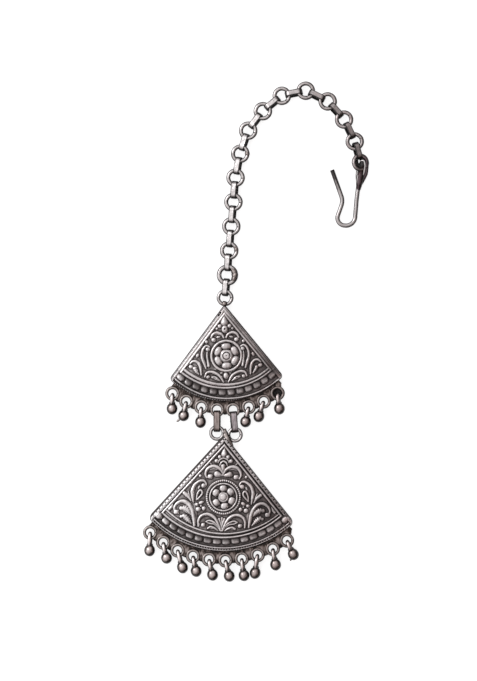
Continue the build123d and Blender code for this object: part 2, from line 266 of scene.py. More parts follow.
@dataclass(frozen=True)
class OxidisedSilver:
    """Silver darkened with sulphur and polished back by hand.

    The sulphide stays near black in the recesses, and the polished tops show soft grey-white
    metal with fine scratches. Finishes that follow the facing paint their flanks near black as
    shade and their tops light as highlight, and all are painted darker and browner towards +X
    as shade.
    """

    name: str
    recess_and_shade: str             # sulphide in the deep places, and the painted shade on the flanks of facing finishes
    shade: str              # sulphide that the cloth has just touched
    patina: str             # half-rubbed metal
    bright: str             # polished tops, and the painted highlight of facing finishes
    # what sets the polish, and on facing finishes the painted highlight and shade
    rubbing_and_shade: RubbingAndShade
    threshold: tuple[float, float]      # where the polish starts and is complete; on facing finishes, where painted shade turns to painted highlight
    roughness: tuple[float, float]      # of the recesses and of the tops
    stops: tuple[float, float] = (0.30, 0.58)   # where shade and patina stand in between
    cloud: float = 1.3      # mm, patches where the sulphide took unevenly
    patches: float = 0.42   # how strongly they show in the rubbing
    grain: float = 0.16     # mm, cast and brushed grain, drawn coarser than it is to show
    grain_depth: float = 0.012          # mm
    brushed: float = 1.0    # how much longer the grain is along the jewel than across
    streak: float = 0.30    # how strongly the grain shows in the rubbing
    bare: tuple[float, float] = (0.25, 0.30)    # metallic under the sulphide; where it is gone
    stain_and_warm_shade: str = "#9b8482"  # brown of a thin sulphide film, also laid on towards +X as painted warm shade
    film_and_shade: float = 0.75      # how strong the brown is at +X: partly sulphide film, partly painted shade
    painted_light_from: tuple[float, float, float] = (-0.14, 0.05, 0.99)     # direction of the painted light: surfaces facing it are painted light, those turned away dark
    stain_and_shade_span: tuple[float, float] = (-16.0, 18.0)       # mm in X, over which the brown of film and painted shade sets in

    def build(self) -> Material:
        """Make the material's nodes.

        Returns:
            The material.
        """
        material = bpy.data.materials.new(self.name)
        material.use_nodes = True
        tree = material.node_tree
        tree.nodes.clear()
        place = add_node(tree, "ShaderNodeTexCoord").outputs["Object"]
        cloud = add_node(tree, "ShaderNodeTexNoise", {
            "Vector": place, "Scale": 1 / (self.cloud * MM), "Detail": 4.0, "Roughness": 0.6})
        drawn = add_node(tree, "ShaderNodeVectorMath", {
            0: place, 1: (1.0, 1 / self.brushed, 1.0)}, operation="MULTIPLY")
        grain = add_node(tree, "ShaderNodeTexNoise", {
            "Vector": drawn.outputs[0], "Scale": 1 / (self.grain * MM), "Detail": 3.0,
            "Roughness": 0.55})
        if self.rubbing_and_shade is RubbingAndShade.RELIEF:
            rubbed_and_shaded = add_node(tree, "ShaderNodeAttribute", attribute_name=WEAR_AND_SHADE).outputs["Fac"]
        else:
            # painted light: colour follows how far the surface faces the painted light, highlight on
            # top and shade on the flanks, less the marked recesses
            normal = add_node(tree, "ShaderNodeNewGeometry").outputs["Normal"]
            faces_light = add_node(tree, "ShaderNodeVectorMath", {0: normal, 1: self.painted_light_from},
                                operation="DOT_PRODUCT").outputs["Value"]
            hidden_and_shaded = add_node(tree, "ShaderNodeAttribute", attribute_name=RECESS_AND_SHADE).outputs["Fac"]
            rubbed_and_shaded = add_node(tree, "ShaderNodeMath", {0: faces_light, 1: hidden_and_shaded},
                              operation="SUBTRACT").outputs[0]
        patchy = add_node(tree, "ShaderNodeMath", {
            0: cloud.outputs["Fac"], 1: self.patches, 2: -self.patches / 2},
            operation="MULTIPLY_ADD")
        grainy = add_node(tree, "ShaderNodeMath", {
            0: grain.outputs["Fac"], 1: self.streak, 2: -self.streak / 2},
            operation="MULTIPLY_ADD")
        wear_and_shade = add_node(tree, "ShaderNodeMath", {0: rubbed_and_shaded, 1: patchy.outputs[0]}, operation="ADD")
        wear_and_shade = add_node(tree, "ShaderNodeMath", {0: wear_and_shade.outputs[0], 1: grainy.outputs[0]},
                        operation="ADD")
        low, high = self.threshold
        shine = add_node(tree, "ShaderNodeMapRange", {
            "Value": wear_and_shade.outputs[0], "From Min": low, "From Max": high},
            interpolation_type="SMOOTHSTEP")
        ramp = add_node(tree, "ShaderNodeValToRGB", {"Fac": shine.outputs[0]})
        ramp.color_ramp.elements[0].color = linear(self.recess_and_shade)
        ramp.color_ramp.elements[1].color = linear(self.bright)
        for stop, colour in zip(self.stops, (self.shade, self.patina)):
            ramp.color_ramp.elements.new(stop).color = linear(colour)
        # painted shade: darker and browner towards +X, away from the light, over the uneven film
        across = add_node(tree, "ShaderNodeSeparateXYZ", {"Vector": place}).outputs["X"]
        stain_and_shade_rightward = add_node(tree, "ShaderNodeMapRange", {
            "Value": across, "From Min": self.stain_and_shade_span[0] * MM,
            "From Max": self.stain_and_shade_span[1] * MM, "To Max": self.film_and_shade})
        film_and_shade = add_node(tree, "ShaderNodeMapRange", {
            "Value": cloud.outputs["Fac"], "From Min": 0.38, "From Max": 0.70, "To Min": 0.35,
            "To Max": 1.0})
        film_and_shade = add_node(tree, "ShaderNodeMath", {
            0: film_and_shade.outputs[0], 1: stain_and_shade_rightward.outputs[0]}, operation="MULTIPLY")
        stained_and_shaded = add_node(tree, "ShaderNodeMix", {
            0: film_and_shade.outputs[0], 6: ramp.outputs["Color"], 7: linear(self.stain_and_warm_shade)},
            data_type="RGBA", blend_type="MULTIPLY")
        rough_low, rough_high = self.roughness
        rough = add_node(tree, "ShaderNodeMapRange", {
            "Value": shine.outputs[0], "To Min": rough_low, "To Max": rough_high})
        rough = add_node(tree, "ShaderNodeMath", {
            0: grainy.outputs[0], 1: 0.5, 2: rough.outputs[0]}, operation="MULTIPLY_ADD")
        bare_low, bare_from = self.bare
        bare = add_node(tree, "ShaderNodeMapRange", {
            "Value": shine.outputs[0], "From Max": bare_from, "To Min": bare_low,
            "To Max": 1.0})
        bump = add_node(tree, "ShaderNodeBump", {
            "Height": grain.outputs["Fac"], "Distance": self.grain_depth * MM})
        metal = add_node(tree, "ShaderNodeBsdfPrincipled", {
            "Base Color": stained_and_shaded.outputs[2], "Metallic": bare.outputs[0],
            "Roughness": rough.outputs[0], "Normal": bump.outputs["Normal"]})
        add_node(tree, "ShaderNodeOutputMaterial", {"Surface": metal.outputs["BSDF"]})
        return material


class Finish(Enum):
    """The jewel's finishes: the same silver, darkened and polished to different degrees; the facing
    finishes paint highlight on their tops and shade on their flanks.
    """

    # chased sheet: pale, smooth crests against near-black creases
    FAN = OxidisedSilver(
        "oxidised_chased_silver", "#292322", "#625d5d", "#8e8b8b", "#e4e2e3", RubbingAndShade.RELIEF,
        (0.06, 0.93), (0.50, 0.28), film_and_shade=0.95, stain_and_warm_shade="#9a807b")
    # lumpy solder run: dull brown-grey, rubbed on its humps alone, and painted darker next to the
    # rim as its shadow
    SOLDER = OxidisedSilver(
        "oxidised_silver_solder", "#15100e", "#403835", "#6f6561", "#a29996", RubbingAndShade.RELIEF,
        (0.05, 1.0), (0.58, 0.40), stain_and_warm_shade="#a39088")
    # soldered eyelets and lumps: dark rings with a dull top, the flanks painted dark as shade
    EYELET = OxidisedSilver(
        "oxidised_solder_lump", "#150e0d", "#3b3431", "#6c6562", "#a29b98", RubbingAndShade.FACING_LIGHT,
        (0.42, 1.05), (0.46, 0.30))
    # heated solder of the hook's eye: the darkest, partly painted shade of the eye's hollow, with a
    # faint plum tint where painted highlight falls
    HOOK_SOLDER_AND_SHADE = OxidisedSilver(
        "oxidised_hook_solder_and_shade", "#0f0909", "#291f1f", "#4c4042", "#80747a", RubbingAndShade.FACING_LIGHT,
        (0.46, 1.08), (0.42, 0.28))
    # cast balls: painted shade, black round the sides, and one soft painted highlight on top towards
    # the light
    DROP = OxidisedSilver(
        "oxidised_ball_silver", "#0c0807", "#2e2625", "#6c6360", "#cbc1bf", RubbingAndShade.FACING_LIGHT,
        (0.44, 1.06), (0.32, 0.24), painted_light_from=(-0.08, 0.06, 0.99))
    # drawn wire and strip of the chain: dark grey with a narrow painted highlight along the top and
    # painted shade on the flanks
    CHAIN = OxidisedSilver(
        "oxidised_wire_silver", "#131010", "#393535", "#736f6f", "#c2bebe", RubbingAndShade.FACING_LIGHT,
        (0.54, 1.04), (0.40, 0.24), grain=0.13, brushed=4.0, stain_and_shade_span=(6.0, 34.0))
    # the drops' loops: the brightest wire, painted highlight over most of their tops
    LOOP = OxidisedSilver(
        "oxidised_loop_silver", "#141010", "#433d3c", "#8d8684", "#e6dfde", RubbingAndShade.FACING_LIGHT,
        (0.26, 0.94), (0.34, 0.20), grain=0.13, brushed=4.0)
    # filed bands between the fans: streaked along their length, one duller than the other
    DULL_BAND = OxidisedSilver(
        "oxidised_dull_band", "#181312", "#463f3c", "#6c6360", "#a29895", RubbingAndShade.FACING_LIGHT,
        (0.30, 1.16), (0.40, 0.24), grain=0.30, brushed=12.0, streak=0.9)
    BRIGHT_BAND = OxidisedSilver(
        "oxidised_bright_band", "#181312", "#463f3c", "#7f7a7c", "#c6c0c4", RubbingAndShade.FACING_LIGHT,
        (0.30, 1.16), (0.40, 0.24), grain=0.30, brushed=12.0, streak=0.9)
    # drawn wire of the hook: even mid grey and smooth, polished by the hair, with painted highlight
    # on top and painted shade on the flanks
    HOOK = OxidisedSilver(
        "drawn_hook_silver", "#171414", "#464242", "#7e7a7a", "#b6b3b3", RubbingAndShade.FACING_LIGHT,
        (0.46, 1.0), (0.36, 0.22), grain=0.25, film_and_shade=0.3)


# ---------------------------------------------------------------- makers that repeat a shape

class Maker:
    """A Geometry Nodes tree with named inputs, run once for each piece it makes."""

    def __init__(self, name: str) -> None:
        """Start a tree whose first input is the guide geometry.

        Args:
            name: The tree's name.
        """
        self.tree = bpy.data.node_groups.new(name, "GeometryNodeTree")
        self.tree.interface.new_socket("Geometry", in_out="INPUT",
                                       socket_type="NodeSocketGeometry")
        self.tree.interface.new_socket("Geometry", in_out="OUTPUT",
                                       socket_type="NodeSocketGeometry")
        self.entry = self.tree.nodes.new("NodeGroupInput")
        self.keys: dict[str, str] = {}

    def take(self, name: str, kind: str, value: Any = None) -> Socket:
        """Add a named input.

        Args:
            name: What the input is called.
            kind: Its socket type, after NodeSocket.
            value: Its default.

        Returns:
            The socket that gives its value inside the tree.
        """
        item = self.tree.interface.new_socket(name, in_out="INPUT",
                                              socket_type=f"NodeSocket{kind}")
        if value is not None:
            item.default_value = value
        self.keys[name] = item.identifier
        return self.entry.outputs[name]

    def guide(self) -> Socket:
        """The guide geometry inside the tree."""
        return self.entry.outputs["Geometry"]

    def add(self, kind: str, inputs: dict[Any, Any] | None = None,
            **settings: Any) -> bpy.types.Node:
        """Add a node to the tree."""
        return add_node(self.tree, kind, inputs, **settings)

    def scatter(self, shape: Socket) -> Socket:
        """Put the shape at each guide point, turned and sized as the point says.

        Args:
            shape: The shape to repeat.

        Returns:
            The instances.
        """
        turn, size = (self.add("GeometryNodeInputNamedAttribute", {"Name": name},
                               data_type="FLOAT_VECTOR") for name in (TURN, SIZE))
        way = self.add("FunctionNodeEulerToRotation", {"Euler": turn.outputs["Attribute"]})
        placed = self.add("GeometryNodeInstanceOnPoints", {
            "Points": self.guide(), "Instance": shape, "Rotation": way.outputs[0],
            "Scale": size.outputs["Attribute"]})
        return placed.outputs["Instances"]

    def finish(self, shape: Socket) -> None:
        """End the tree: real meshes, slightly uneven as hand work is, in one material.

        Args:
            shape: The instances or mesh to end with.
        """
        uneven = self.take("Unevenness", "Float", 0.02 * MM)
        seed = self.take("Seed", "Int", 1)
        material = self.take("Material", "Material")
        real = self.add("GeometryNodeRealizeInstances", {"Geometry": shape})
        place = self.add("GeometryNodeInputPosition")
        noise = self.add("ShaderNodeTexNoise", {
            "Vector": place.outputs[0], "W": seed, "Scale": 1 / (HAND_WAVE * MM),
            "Detail": 2.0}, noise_dimensions="4D")
        centred = self.add("ShaderNodeVectorMath", {
            0: noise.outputs["Color"], 1: (0.5, 0.5, 0.5)}, operation="SUBTRACT")
        shift = self.add("ShaderNodeVectorMath", {
            0: centred.outputs[0], "Scale": uneven}, operation="SCALE")
        moved = self.add("GeometryNodeSetPosition", {
            "Geometry": real.outputs[0], "Offset": shift.outputs[0]})
        dressed = self.add("GeometryNodeSetMaterial", {
            "Geometry": moved.outputs[0], "Material": material})
        self.add("NodeGroupOutput", {"Geometry": dressed.outputs[0]})

    def make(self, name: str, guide: bpy.types.Mesh, **inputs: Any) -> Piece:
        """Run the tree on a guide and keep the plain mesh.

        Args:
            name: The piece's name.
            guide: Guide points or lines.
            inputs: Values for the named inputs, with underscores for their spaces and
                with every length in millimetres.

        Returns:
            The piece, a plain mesh at the origin.
        """
        piece = bpy.data.objects.new(name, guide)
        bpy.context.scene.collection.objects.link(piece)
        modifier = piece.modifiers.new("maker", "NODES")
        modifier.node_group = self.tree
        for key, value in inputs.items():
            length = isinstance(value, float)
            modifier[self.keys[key.replace("_", " ")]] = value * MM if length else value
        depsgraph = bpy.context.evaluated_depsgraph_get()
        mesh = bpy.data.meshes.new_from_object(piece.evaluated_get(depsgraph), depsgraph=depsgraph)
        piece.modifiers.clear()
        piece.data = mesh
        mesh.shade_smooth()
        return piece


@dataclass
class Spot:
    """Where a repeated shape goes: its middle, how it is turned, and its size."""

    place: Vector
    turn: Euler
    size: tuple[float, float, float] = (1.0, 1.0, 1.0)


def spots_mesh(name: str, spots: Sequence[Spot]) -> bpy.types.Mesh:
    """Guide mesh of loose points that carry their turn and size.

    Args:
        name: The mesh's name.
        spots: Where the shapes go.

    Returns:
        The guide mesh.
    """
    mesh = bpy.data.meshes.new(name)
    mesh.from_pydata([spot.place * MM for spot in spots], [], [])
    turns, sizes = [spot.turn for spot in spots], [spot.size for spot in spots]
    for key, values in ((TURN, turns), (SIZE, sizes)):
        layer = mesh.attributes.new(key, "FLOAT_VECTOR", "POINT")
        flat = np.array([tuple(value) for value in values], np.float32)
        layer.data.foreach_set("vector", flat.ravel())
    return mesh


def upright_turn(heading: float, roll: float) -> Euler:
    """Turn of a shape that stands on edge along a heading and is rolled about it.

    Args:
        heading: Degrees clockwise from +Y.
        roll: Degrees from on edge; 90 lies flat.

    Returns:
        The turn that takes its X along the heading and its Z along its normal.
    """
    way, lean = math.radians(heading), math.radians(roll)
    along = Vector((math.sin(way), math.cos(way), 0))
    right = Vector((along.y, -along.x, 0))
    normal = right * math.cos(lean) + Vector((0, 0, 1)) * math.sin(lean)
    side = normal.cross(along)
    return Matrix((along, side, normal)).transposed().to_euler()


def ring_maker() -> Maker:
    """Maker of closed wire loops: round when Straight is 0, long when it isn't.

    Returns:
        The maker.
    """
    maker = Maker("wire_loops")
    middle = maker.take("Mid Radius", "Float", 1.86 * MM)
    wire = maker.take("Wire Radius", "Float", 0.39 * MM)
    straight = maker.take("Straight", "Float", 0.0)
    length = maker.add("ShaderNodeMath", {0: middle, 1: 2.0, 2: straight},
                       operation="MULTIPLY_ADD")
    width = maker.add("ShaderNodeMath", {0: middle, 1: 2.0}, operation="MULTIPLY")
    frame = maker.add("GeometryNodeCurvePrimitiveQuadrilateral", {
        "Width": length.outputs[0], "Height": width.outputs[0]})
    # a hair less than half the width, so that no two bends run into each other
    bend = maker.add("ShaderNodeMath", {0: middle, 1: 0.9995}, operation="MULTIPLY")
    loop = maker.add("GeometryNodeFilletCurve", {
        "Curve": frame.outputs[0], "Radius": bend.outputs[0], "Count": 14}, mode="POLY")
    section = maker.add("GeometryNodeCurvePrimitiveCircle", {"Resolution": 16, "Radius": wire})
    tube = maker.add("GeometryNodeCurveToMesh", {
        "Curve": loop.outputs[0], "Profile Curve": section.outputs[0]})
    maker.finish(maker.scatter(tube.outputs[0]))
    return maker


def link_maker() -> Maker:
    """Maker of flat-strip links: a rounded strip bent into a long closed loop.

    The inside and the edges of the strip are marked dark: sulphide that no polishing reaches, and
    painted shade inside the loop and along the edges.

    Returns:
        The maker.
    """
    maker = Maker("flat_links")
    length = maker.take("Length", "Float", 4.5 * MM)
    height = maker.take("Height", "Float", 2.32 * MM)
    strip = maker.take("Strip", "Float", 0.30 * MM)
    width = maker.take("Width", "Float", 1.15 * MM)
    long = maker.add("ShaderNodeMath", {0: length, 1: strip}, operation="SUBTRACT")
    high = maker.add("ShaderNodeMath", {0: height, 1: strip}, operation="SUBTRACT")
    frame = maker.add("GeometryNodeCurvePrimitiveQuadrilateral", {
        "Width": long.outputs[0], "Height": high.outputs[0]})
    # a hair less than half the height, so that no two bends run into each other
    bend = maker.add("ShaderNodeMath", {0: high.outputs[0], 1: 0.4998}, operation="MULTIPLY")
    loop = maker.add("GeometryNodeFilletCurve", {
        "Curve": frame.outputs[0], "Radius": bend.outputs[0], "Count": 12}, mode="POLY")
    section = maker.add("GeometryNodeCurvePrimitiveQuadrilateral", {
        "Width": strip, "Height": width})
    soft = maker.add("ShaderNodeMath", {0: strip, 1: 0.42}, operation="MULTIPLY")
    edge = maker.add("GeometryNodeFilletCurve", {
        "Curve": section.outputs[0], "Radius": soft.outputs[0], "Count": 3}, mode="POLY")
    edge = maker.add("GeometryNodeResampleCurve", {"Curve": edge.outputs[0], "Count": 44})
    loop = maker.add("GeometryNodeResampleCurve", {"Curve": loop.outputs[0], "Count": 90})
    band = maker.add("GeometryNodeCurveToMesh", {
        "Curve": loop.outputs[0], "Profile Curve": edge.outputs[0]})
    # the strip's inside, painted dark as shade, told by its normals, which face the loop's own
    # middle line
    place = maker.add("GeometryNodeInputPosition").outputs[0]
    apart = maker.add("ShaderNodeSeparateXYZ", {"Vector": place})
    reach = maker.add("ShaderNodeMath", {0: long.outputs[0], 1: high.outputs[0]},
                      operation="SUBTRACT")
    reach = maker.add("ShaderNodeMath", {0: reach.outputs[0], 1: 0.5}, operation="MULTIPLY")
    back = maker.add("ShaderNodeMath", {0: reach.outputs[0], 1: -1.0}, operation="MULTIPLY")
    axis = maker.add("ShaderNodeClamp", {
        "Value": apart.outputs["X"], "Min": back.outputs[0], "Max": reach.outputs[0]})
    spine = maker.add("ShaderNodeCombineXYZ", {"X": axis.outputs[0], "Z": apart.outputs["Z"]})
    outward = maker.add("ShaderNodeVectorMath", {0: place, 1: spine.outputs[0]},
                        operation="SUBTRACT")
    outward = maker.add("ShaderNodeVectorMath", {0: outward.outputs[0]}, operation="NORMALIZE")
    normal = maker.add("GeometryNodeInputNormal").outputs[0]
    facing = maker.add("ShaderNodeVectorMath", {0: outward.outputs[0], 1: normal},
                       operation="DOT_PRODUCT")
    hidden_and_shaded = maker.add("ShaderNodeMapRange", {
        "Value": facing.outputs["Value"], "From Min": 0.35, "From Max": -0.15, "To Max": 1.1})
    # the strip's edges, from three fifths of its half width outwards, painted dark as shade
    aside = maker.add("ShaderNodeMath", {0: apart.outputs["Z"]}, operation="ABSOLUTE")
    inner = maker.add("ShaderNodeMath", {0: width, 1: 0.30}, operation="MULTIPLY")
    outer = maker.add("ShaderNodeMath", {0: width, 1: 0.50}, operation="MULTIPLY")
    at_edge = maker.add("ShaderNodeMapRange", {
        "Value": aside.outputs[0], "From Min": inner.outputs[0], "From Max": outer.outputs[0],
        "To Max": 0.55})
    dark = maker.add("ShaderNodeMath", {0: hidden_and_shaded.outputs[0], 1: at_edge.outputs[0]},
                     operation="MAXIMUM")
    marked = maker.add("GeometryNodeStoreNamedAttribute", {
        "Geometry": band.outputs[0], "Name": RECESS_AND_SHADE, "Value": dark.outputs[0]},
        data_type="FLOAT", domain="POINT")
    maker.finish(maker.scatter(marked.outputs[0]))
    return maker


def ball_maker() -> Maker:
    """Maker of solid balls and solder lumps.

    Returns:
        The maker.
    """
    maker = Maker("balls")
    radius = maker.take("Radius", "Float", 1.34 * MM)
    ball = maker.add("GeometryNodeMeshUVSphere", {"Segments": 40, "Rings": 24, "Radius": radius})
    maker.finish(maker.scatter(ball.outputs["Mesh"]))
    return maker


def bent_wire_maker() -> Maker:
    """Maker of a wire bent along a guide line, with a bend radius at each corner.

    Returns:
        The maker.
    """
    maker = Maker("bent_wire")
    wire = maker.take("Wire Radius", "Float", 0.55 * MM)
    line = maker.add("GeometryNodeMeshToCurve", {0: maker.guide()})
    bend = maker.add("GeometryNodeInputNamedAttribute", {"Name": BEND}, data_type="FLOAT")
    curve = maker.add("GeometryNodeFilletCurve", {
        "Curve": line.outputs[0], "Radius": bend.outputs["Attribute"], "Count": 16,
        "Limit Radius": True}, mode="POLY")
    even = maker.add("GeometryNodeResampleCurve", {
        "Curve": curve.outputs[0], "Length": 0.22 * MM}, mode="LENGTH")
    section = maker.add("GeometryNodeCurvePrimitiveCircle", {"Resolution": 20, "Radius": wire})
    size = maker.add("GeometryNodeInputNamedAttribute", {"Name": GIRTH}, data_type="FLOAT")
    tube = maker.add("GeometryNodeCurveToMesh", {
        "Curve": even.outputs[0], "Profile Curve": section.outputs[0],
        "Scale": size.outputs["Attribute"], "Fill Caps": True})
    maker.finish(tube.outputs[0])
    return maker


def wire_guide(corners: Sequence[Corner],
               dark: Sequence[float] | None = None) -> bpy.types.Mesh:
    """Guide line with a bend and a girth at each corner.

    Args:
        corners: x, y, z, bend radius and girth of each.
        dark: How dark each is kept: sulphide, and painted shade in the hook's eye.

    Returns:
        The guide mesh.
    """
    mesh = bpy.data.meshes.new("bend")
    mesh.from_pydata([Vector(c[:3]) * MM for c in corners],
                     [(k, k + 1) for k in range(len(corners) - 1)], [])
    bends, girths = [c[3] * MM for c in corners], [c[4] for c in corners]
    for key, values in ((BEND, bends), (GIRTH, girths), (RECESS_AND_SHADE, dark)):
        if values:
            layer = mesh.attributes.new(key, "FLOAT", "POINT")
            layer.data.foreach_set("value", values)
    return mesh


class Workshop:
    """The finishes and the makers that the pieces share."""

    def __init__(self) -> None:
        """Make the finishes, then the makers."""
        self.finish = {finish: finish.value.build() for finish in Finish}
        self.rings, self.links = ring_maker(), link_maker()
        self.balls, self.wires = ball_maker(), bent_wire_maker()


# ---------------------------------------------------------------- relief of the fans

@dataclass(frozen=True)
class Stroke:
    """A raised line of the ornament, as it is chased up from the back of the sheet."""

    path: tuple[Point, ...]
    widths: tuple[float, ...]       # along the line, evenly spread
    height: float = 0.66            # over the ground, as in all forms
    veins: int = 0                  # cuts across a leaf
    twin: bool = True               # repeated on the other half


@dataclass(frozen=True)
class Dome:
    """A raised ball or petal of the ornament."""

    place: Point
    size: Point                     # half width and half height
    height: float = 0.66
    turn: float = 0.0               # degrees
    twin: bool = True
    power: float = 2.0              # 2 is round, more is squarer
    lean: float = 0.0               # how much lower its upper side is


@dataclass(frozen=True)
class Cut:
    """A slot cut into the ornament."""

    path: tuple[Point, ...]
    width: float
    depth: float = 0.3
    twin: bool = True


@dataclass(frozen=True)
class Band:
    """A ridge that follows the border, in from an edge, with beads along it if it has a pitch."""

    inset: float
    width: float
    height: float
    pitch: float = 0.0
    lean: float = 0.0       # mm nearer the edge for each degree to the right


class Relief:
    """Height of the ornament over a set of points, in the fan's own plane."""

    def __init__(self, points: np.ndarray, ground: np.ndarray, mirror: float) -> None:
        """Start at the ground.

        Args:
            points: Places in the fan's plane, one row each.
            ground: Height of the ground at each.
            mirror: X of the line that twins are mirrored in.
        """
        self.points = points
        self.ground = ground.copy()
        self.height = ground.copy()
        self.mirror = mirror

    def halves(self, twin: bool) -> list[np.ndarray]:
        """The points, and their mirror images where a form has a twin.

        Args:
            twin: Whether it has one.

        Returns:
            One or two sets of points.
        """
        if not twin:
            return [self.points]
        other = self.points.copy()
        other[:, 0] = 2 * self.mirror - other[:, 0]
        return [self.points, other]

    @staticmethod
    def along(points: np.ndarray, line: np.ndarray) -> tuple[np.ndarray, np.ndarray]:
        """Distance to a line, and how far along it the nearest place is.

        Args:
            points: Places, one row each.
            line: The line's points, one row each.

        Returns:
            Distances, and shares of the line's length.
        """
        start, step = line[:-1], np.diff(line, axis=0)
        length = np.hypot(*step.T)
        gap = points[:, None, :] - start[None]
        share = np.clip((gap * step).sum(2) / np.maximum(length ** 2, 1e-12), 0, 1)
        away = np.hypot(*np.moveaxis(gap - share[..., None] * step, 2, 0))
        best = away.argmin(1)
        row = np.arange(len(points))
        done = np.concatenate([[0], np.cumsum(length)])
        return away[row, best], (done[best] + share[row, best] * length[best]) / done[-1]

    @staticmethod
    def near(points: np.ndarray, line: np.ndarray, reach: float) -> np.ndarray:
        """Numbers of the points within reach of the line's box."""
        low, high = line.min(0) - reach, line.max(0) + reach
        return np.nonzero(((points > low) & (points < high)).all(1))[0]

    def lift(self, index: np.ndarray, rise: np.ndarray) -> None:
        """Raise points to a height over the ground where that is higher."""
        self.height[index] = np.maximum(self.height[index], self.ground[index] + rise)

    def stroke(self, form: Stroke) -> None:
        """Raise a stroke with a rounded top.

        Args:
            form: The stroke.
        """
        line = flowing(form.path)
        widest = max(form.widths)
        for points in self.halves(form.twin):
            index = self.near(points, line, widest)
            away, share = self.along(points[index], line)
            spread = np.linspace(0, 1, len(form.widths))
            half = np.interp(share, spread, form.widths) * FULLNESS / 2
            round_top = np.clip(1 - (away / half) ** 2.1, 0, 1) ** FULL_TOP
            rise = form.height * round_top * (half * 2 / widest / FULLNESS) ** 0.4
            if form.veins:
                cuts = np.abs(np.sin(share * form.veins * math.pi)) ** 3
                rise *= 1 - 0.45 * cuts * smoothstep(0.25, 0.75, away / half)
            self.lift(index, rise)

    def dome(self, form: Dome, swell: float = 1.0) -> None:
        """Raise a ball or petal.

        Args:
            form: The ball or petal.
            swell: How much larger it is made than listed.
        """
        form = replace(form, size=(form.size[0] * swell, form.size[1] * swell))
        spin = math.radians(form.turn)
        middle = np.array([form.place])
        for points in self.halves(form.twin):
            index = self.near(points, middle, max(form.size) * 1.1)
            x, y = (points[index] - middle).T
            aside = (x * math.cos(spin) + y * math.sin(spin)) / form.size[0]
            above = (y * math.cos(spin) - x * math.sin(spin)) / form.size[1]
            rho = np.abs(aside) ** form.power + np.abs(above) ** form.power
            rho = rho ** (1 / form.power)
            level = form.height * (1 - form.lean * np.clip(0.5 + above, 0, 1.5) / 1.5)
            self.lift(index, level * np.sqrt(np.clip(1 - rho ** 2.6, 0, 1)))

    def cut(self, form: Cut) -> None:
        """Cut a slot down from the raised forms.

        Args:
            form: The slot.
        """
        line = flowing(form.path)
        for points in self.halves(form.twin):
            index = self.near(points, line, form.width)
            away, _ = self.along(points[index], line)
            self.height[index] -= form.depth * np.clip(1 - (away / (form.width / 2)) ** 2, 0, 1)

    def raise_form(self, form: Stroke | Dome | Cut) -> None:
        """Raise or cut one form of the ornament.

        Args:
            form: A stroke, a ball or petal, or a slot.
        """
        if isinstance(form, Dome):
            self.dome(form, SWELL)
        elif isinstance(form, Cut):
            self.cut(form)
        else:
            self.stroke(form)

    def ring(self, middle: Point, radius: float, width: float, height: float,
             beads: int) -> None:
        """Raise a ring, with beads along it where it has a count.

        Args:
            middle: Its centre.
            radius: Of its crest.
            width: Across the wire.
            height: Over the ground.
            beads: How many, or none.
        """
        x, y = (self.points - np.array(middle)).T
        away = np.abs(np.hypot(x, y) - radius)
        crest = height * np.clip(1 - (away / (width / 2)) ** 2, 0, 1) ** FULL_TOP
        if beads:
            crest *= 0.86 + 0.14 * np.cos(np.arctan2(y, x) * beads)
        self.lift(np.arange(len(self.points)), crest)


@dataclass(frozen=True)
class Rosette:
    """The flower in a fan's middle."""

    middle: Point
    rings: tuple[tuple[float, float, float, int], ...]      # radius, width, height, beads
    petals: tuple[tuple[float, float], ...]                 # bearing and distance
    petal: Point                                            # half sizes, across and out
    boss: float             # radius
    groove: float           # radius of the groove round the boss's button
    groove_depth: float
    dot: float              # radius of the punch mark in its middle
    petal_height: float = 0.80
    boss_height: float = 0.84
    groove_half: float = 0.18       # half width of the groove
    dot_depth: float = 0.25

    def raise_on(self, relief: Relief) -> None:
        """Raise the flower on a relief.

        Args:
            relief: The fan's relief.
        """
        for radius, width, height, beads in self.rings:
            relief.ring(self.middle, radius, width, height, beads)
        for bearing, distance in self.petals:
            turn = math.radians(bearing)
            place = (self.middle[0] + distance * math.cos(turn),
                     self.middle[1] + distance * math.sin(turn))
            relief.dome(Dome(place, self.petal, self.petal_height, bearing - 90, False, 2.3))
        relief.dome(Dome(self.middle, (self.boss, self.boss), self.boss_height, 0, False, 2.4))
        away = np.hypot(*(relief.points - np.array(self.middle)).T)
        off = (away - self.groove) / self.groove_half
        relief.height -= self.groove_depth * np.clip(1 - off ** 2, 0, 1)
        if self.dot:
            relief.cut(Cut((self.middle, self.middle), self.dot * 2, self.dot_depth, False))


@dataclass(frozen=True)
class Polish:
    """How strongly each thing about a place tells in the polish and the painted shade of a fan's
    top.
    """

    base: float = 0.47
    crest: float = 0.85             # for each mm over its wider surroundings
    crease: float = 1.3             # and over its nearest ones
    level: float = 0.26             # from the ornament's ground to its full height
    full_height: float = 0.75       # mm
    mottle: Waver = Waver(0.07, 2.6, 31)        # uneven pressure of the cloth
    rim: float = -0.08              # round border
    row: float = -0.06              # bead row
    row_inner: float = -0.12        # its side away from the edge: painted shadow of the ridge above it
    row_left: float = 0.24          # its left end
    right: float = -0.12            # right side of the ornament: painted shade, away from the light
    right_rim: float = 0.08         # and of the round border, painted lighter there in place of that shade
    right_strip: float = -0.16      # strip along the right side: painted shade
    arc_share: float = 0.75         # of the arc's channel against the side's
    corner_bead: float = 0.35


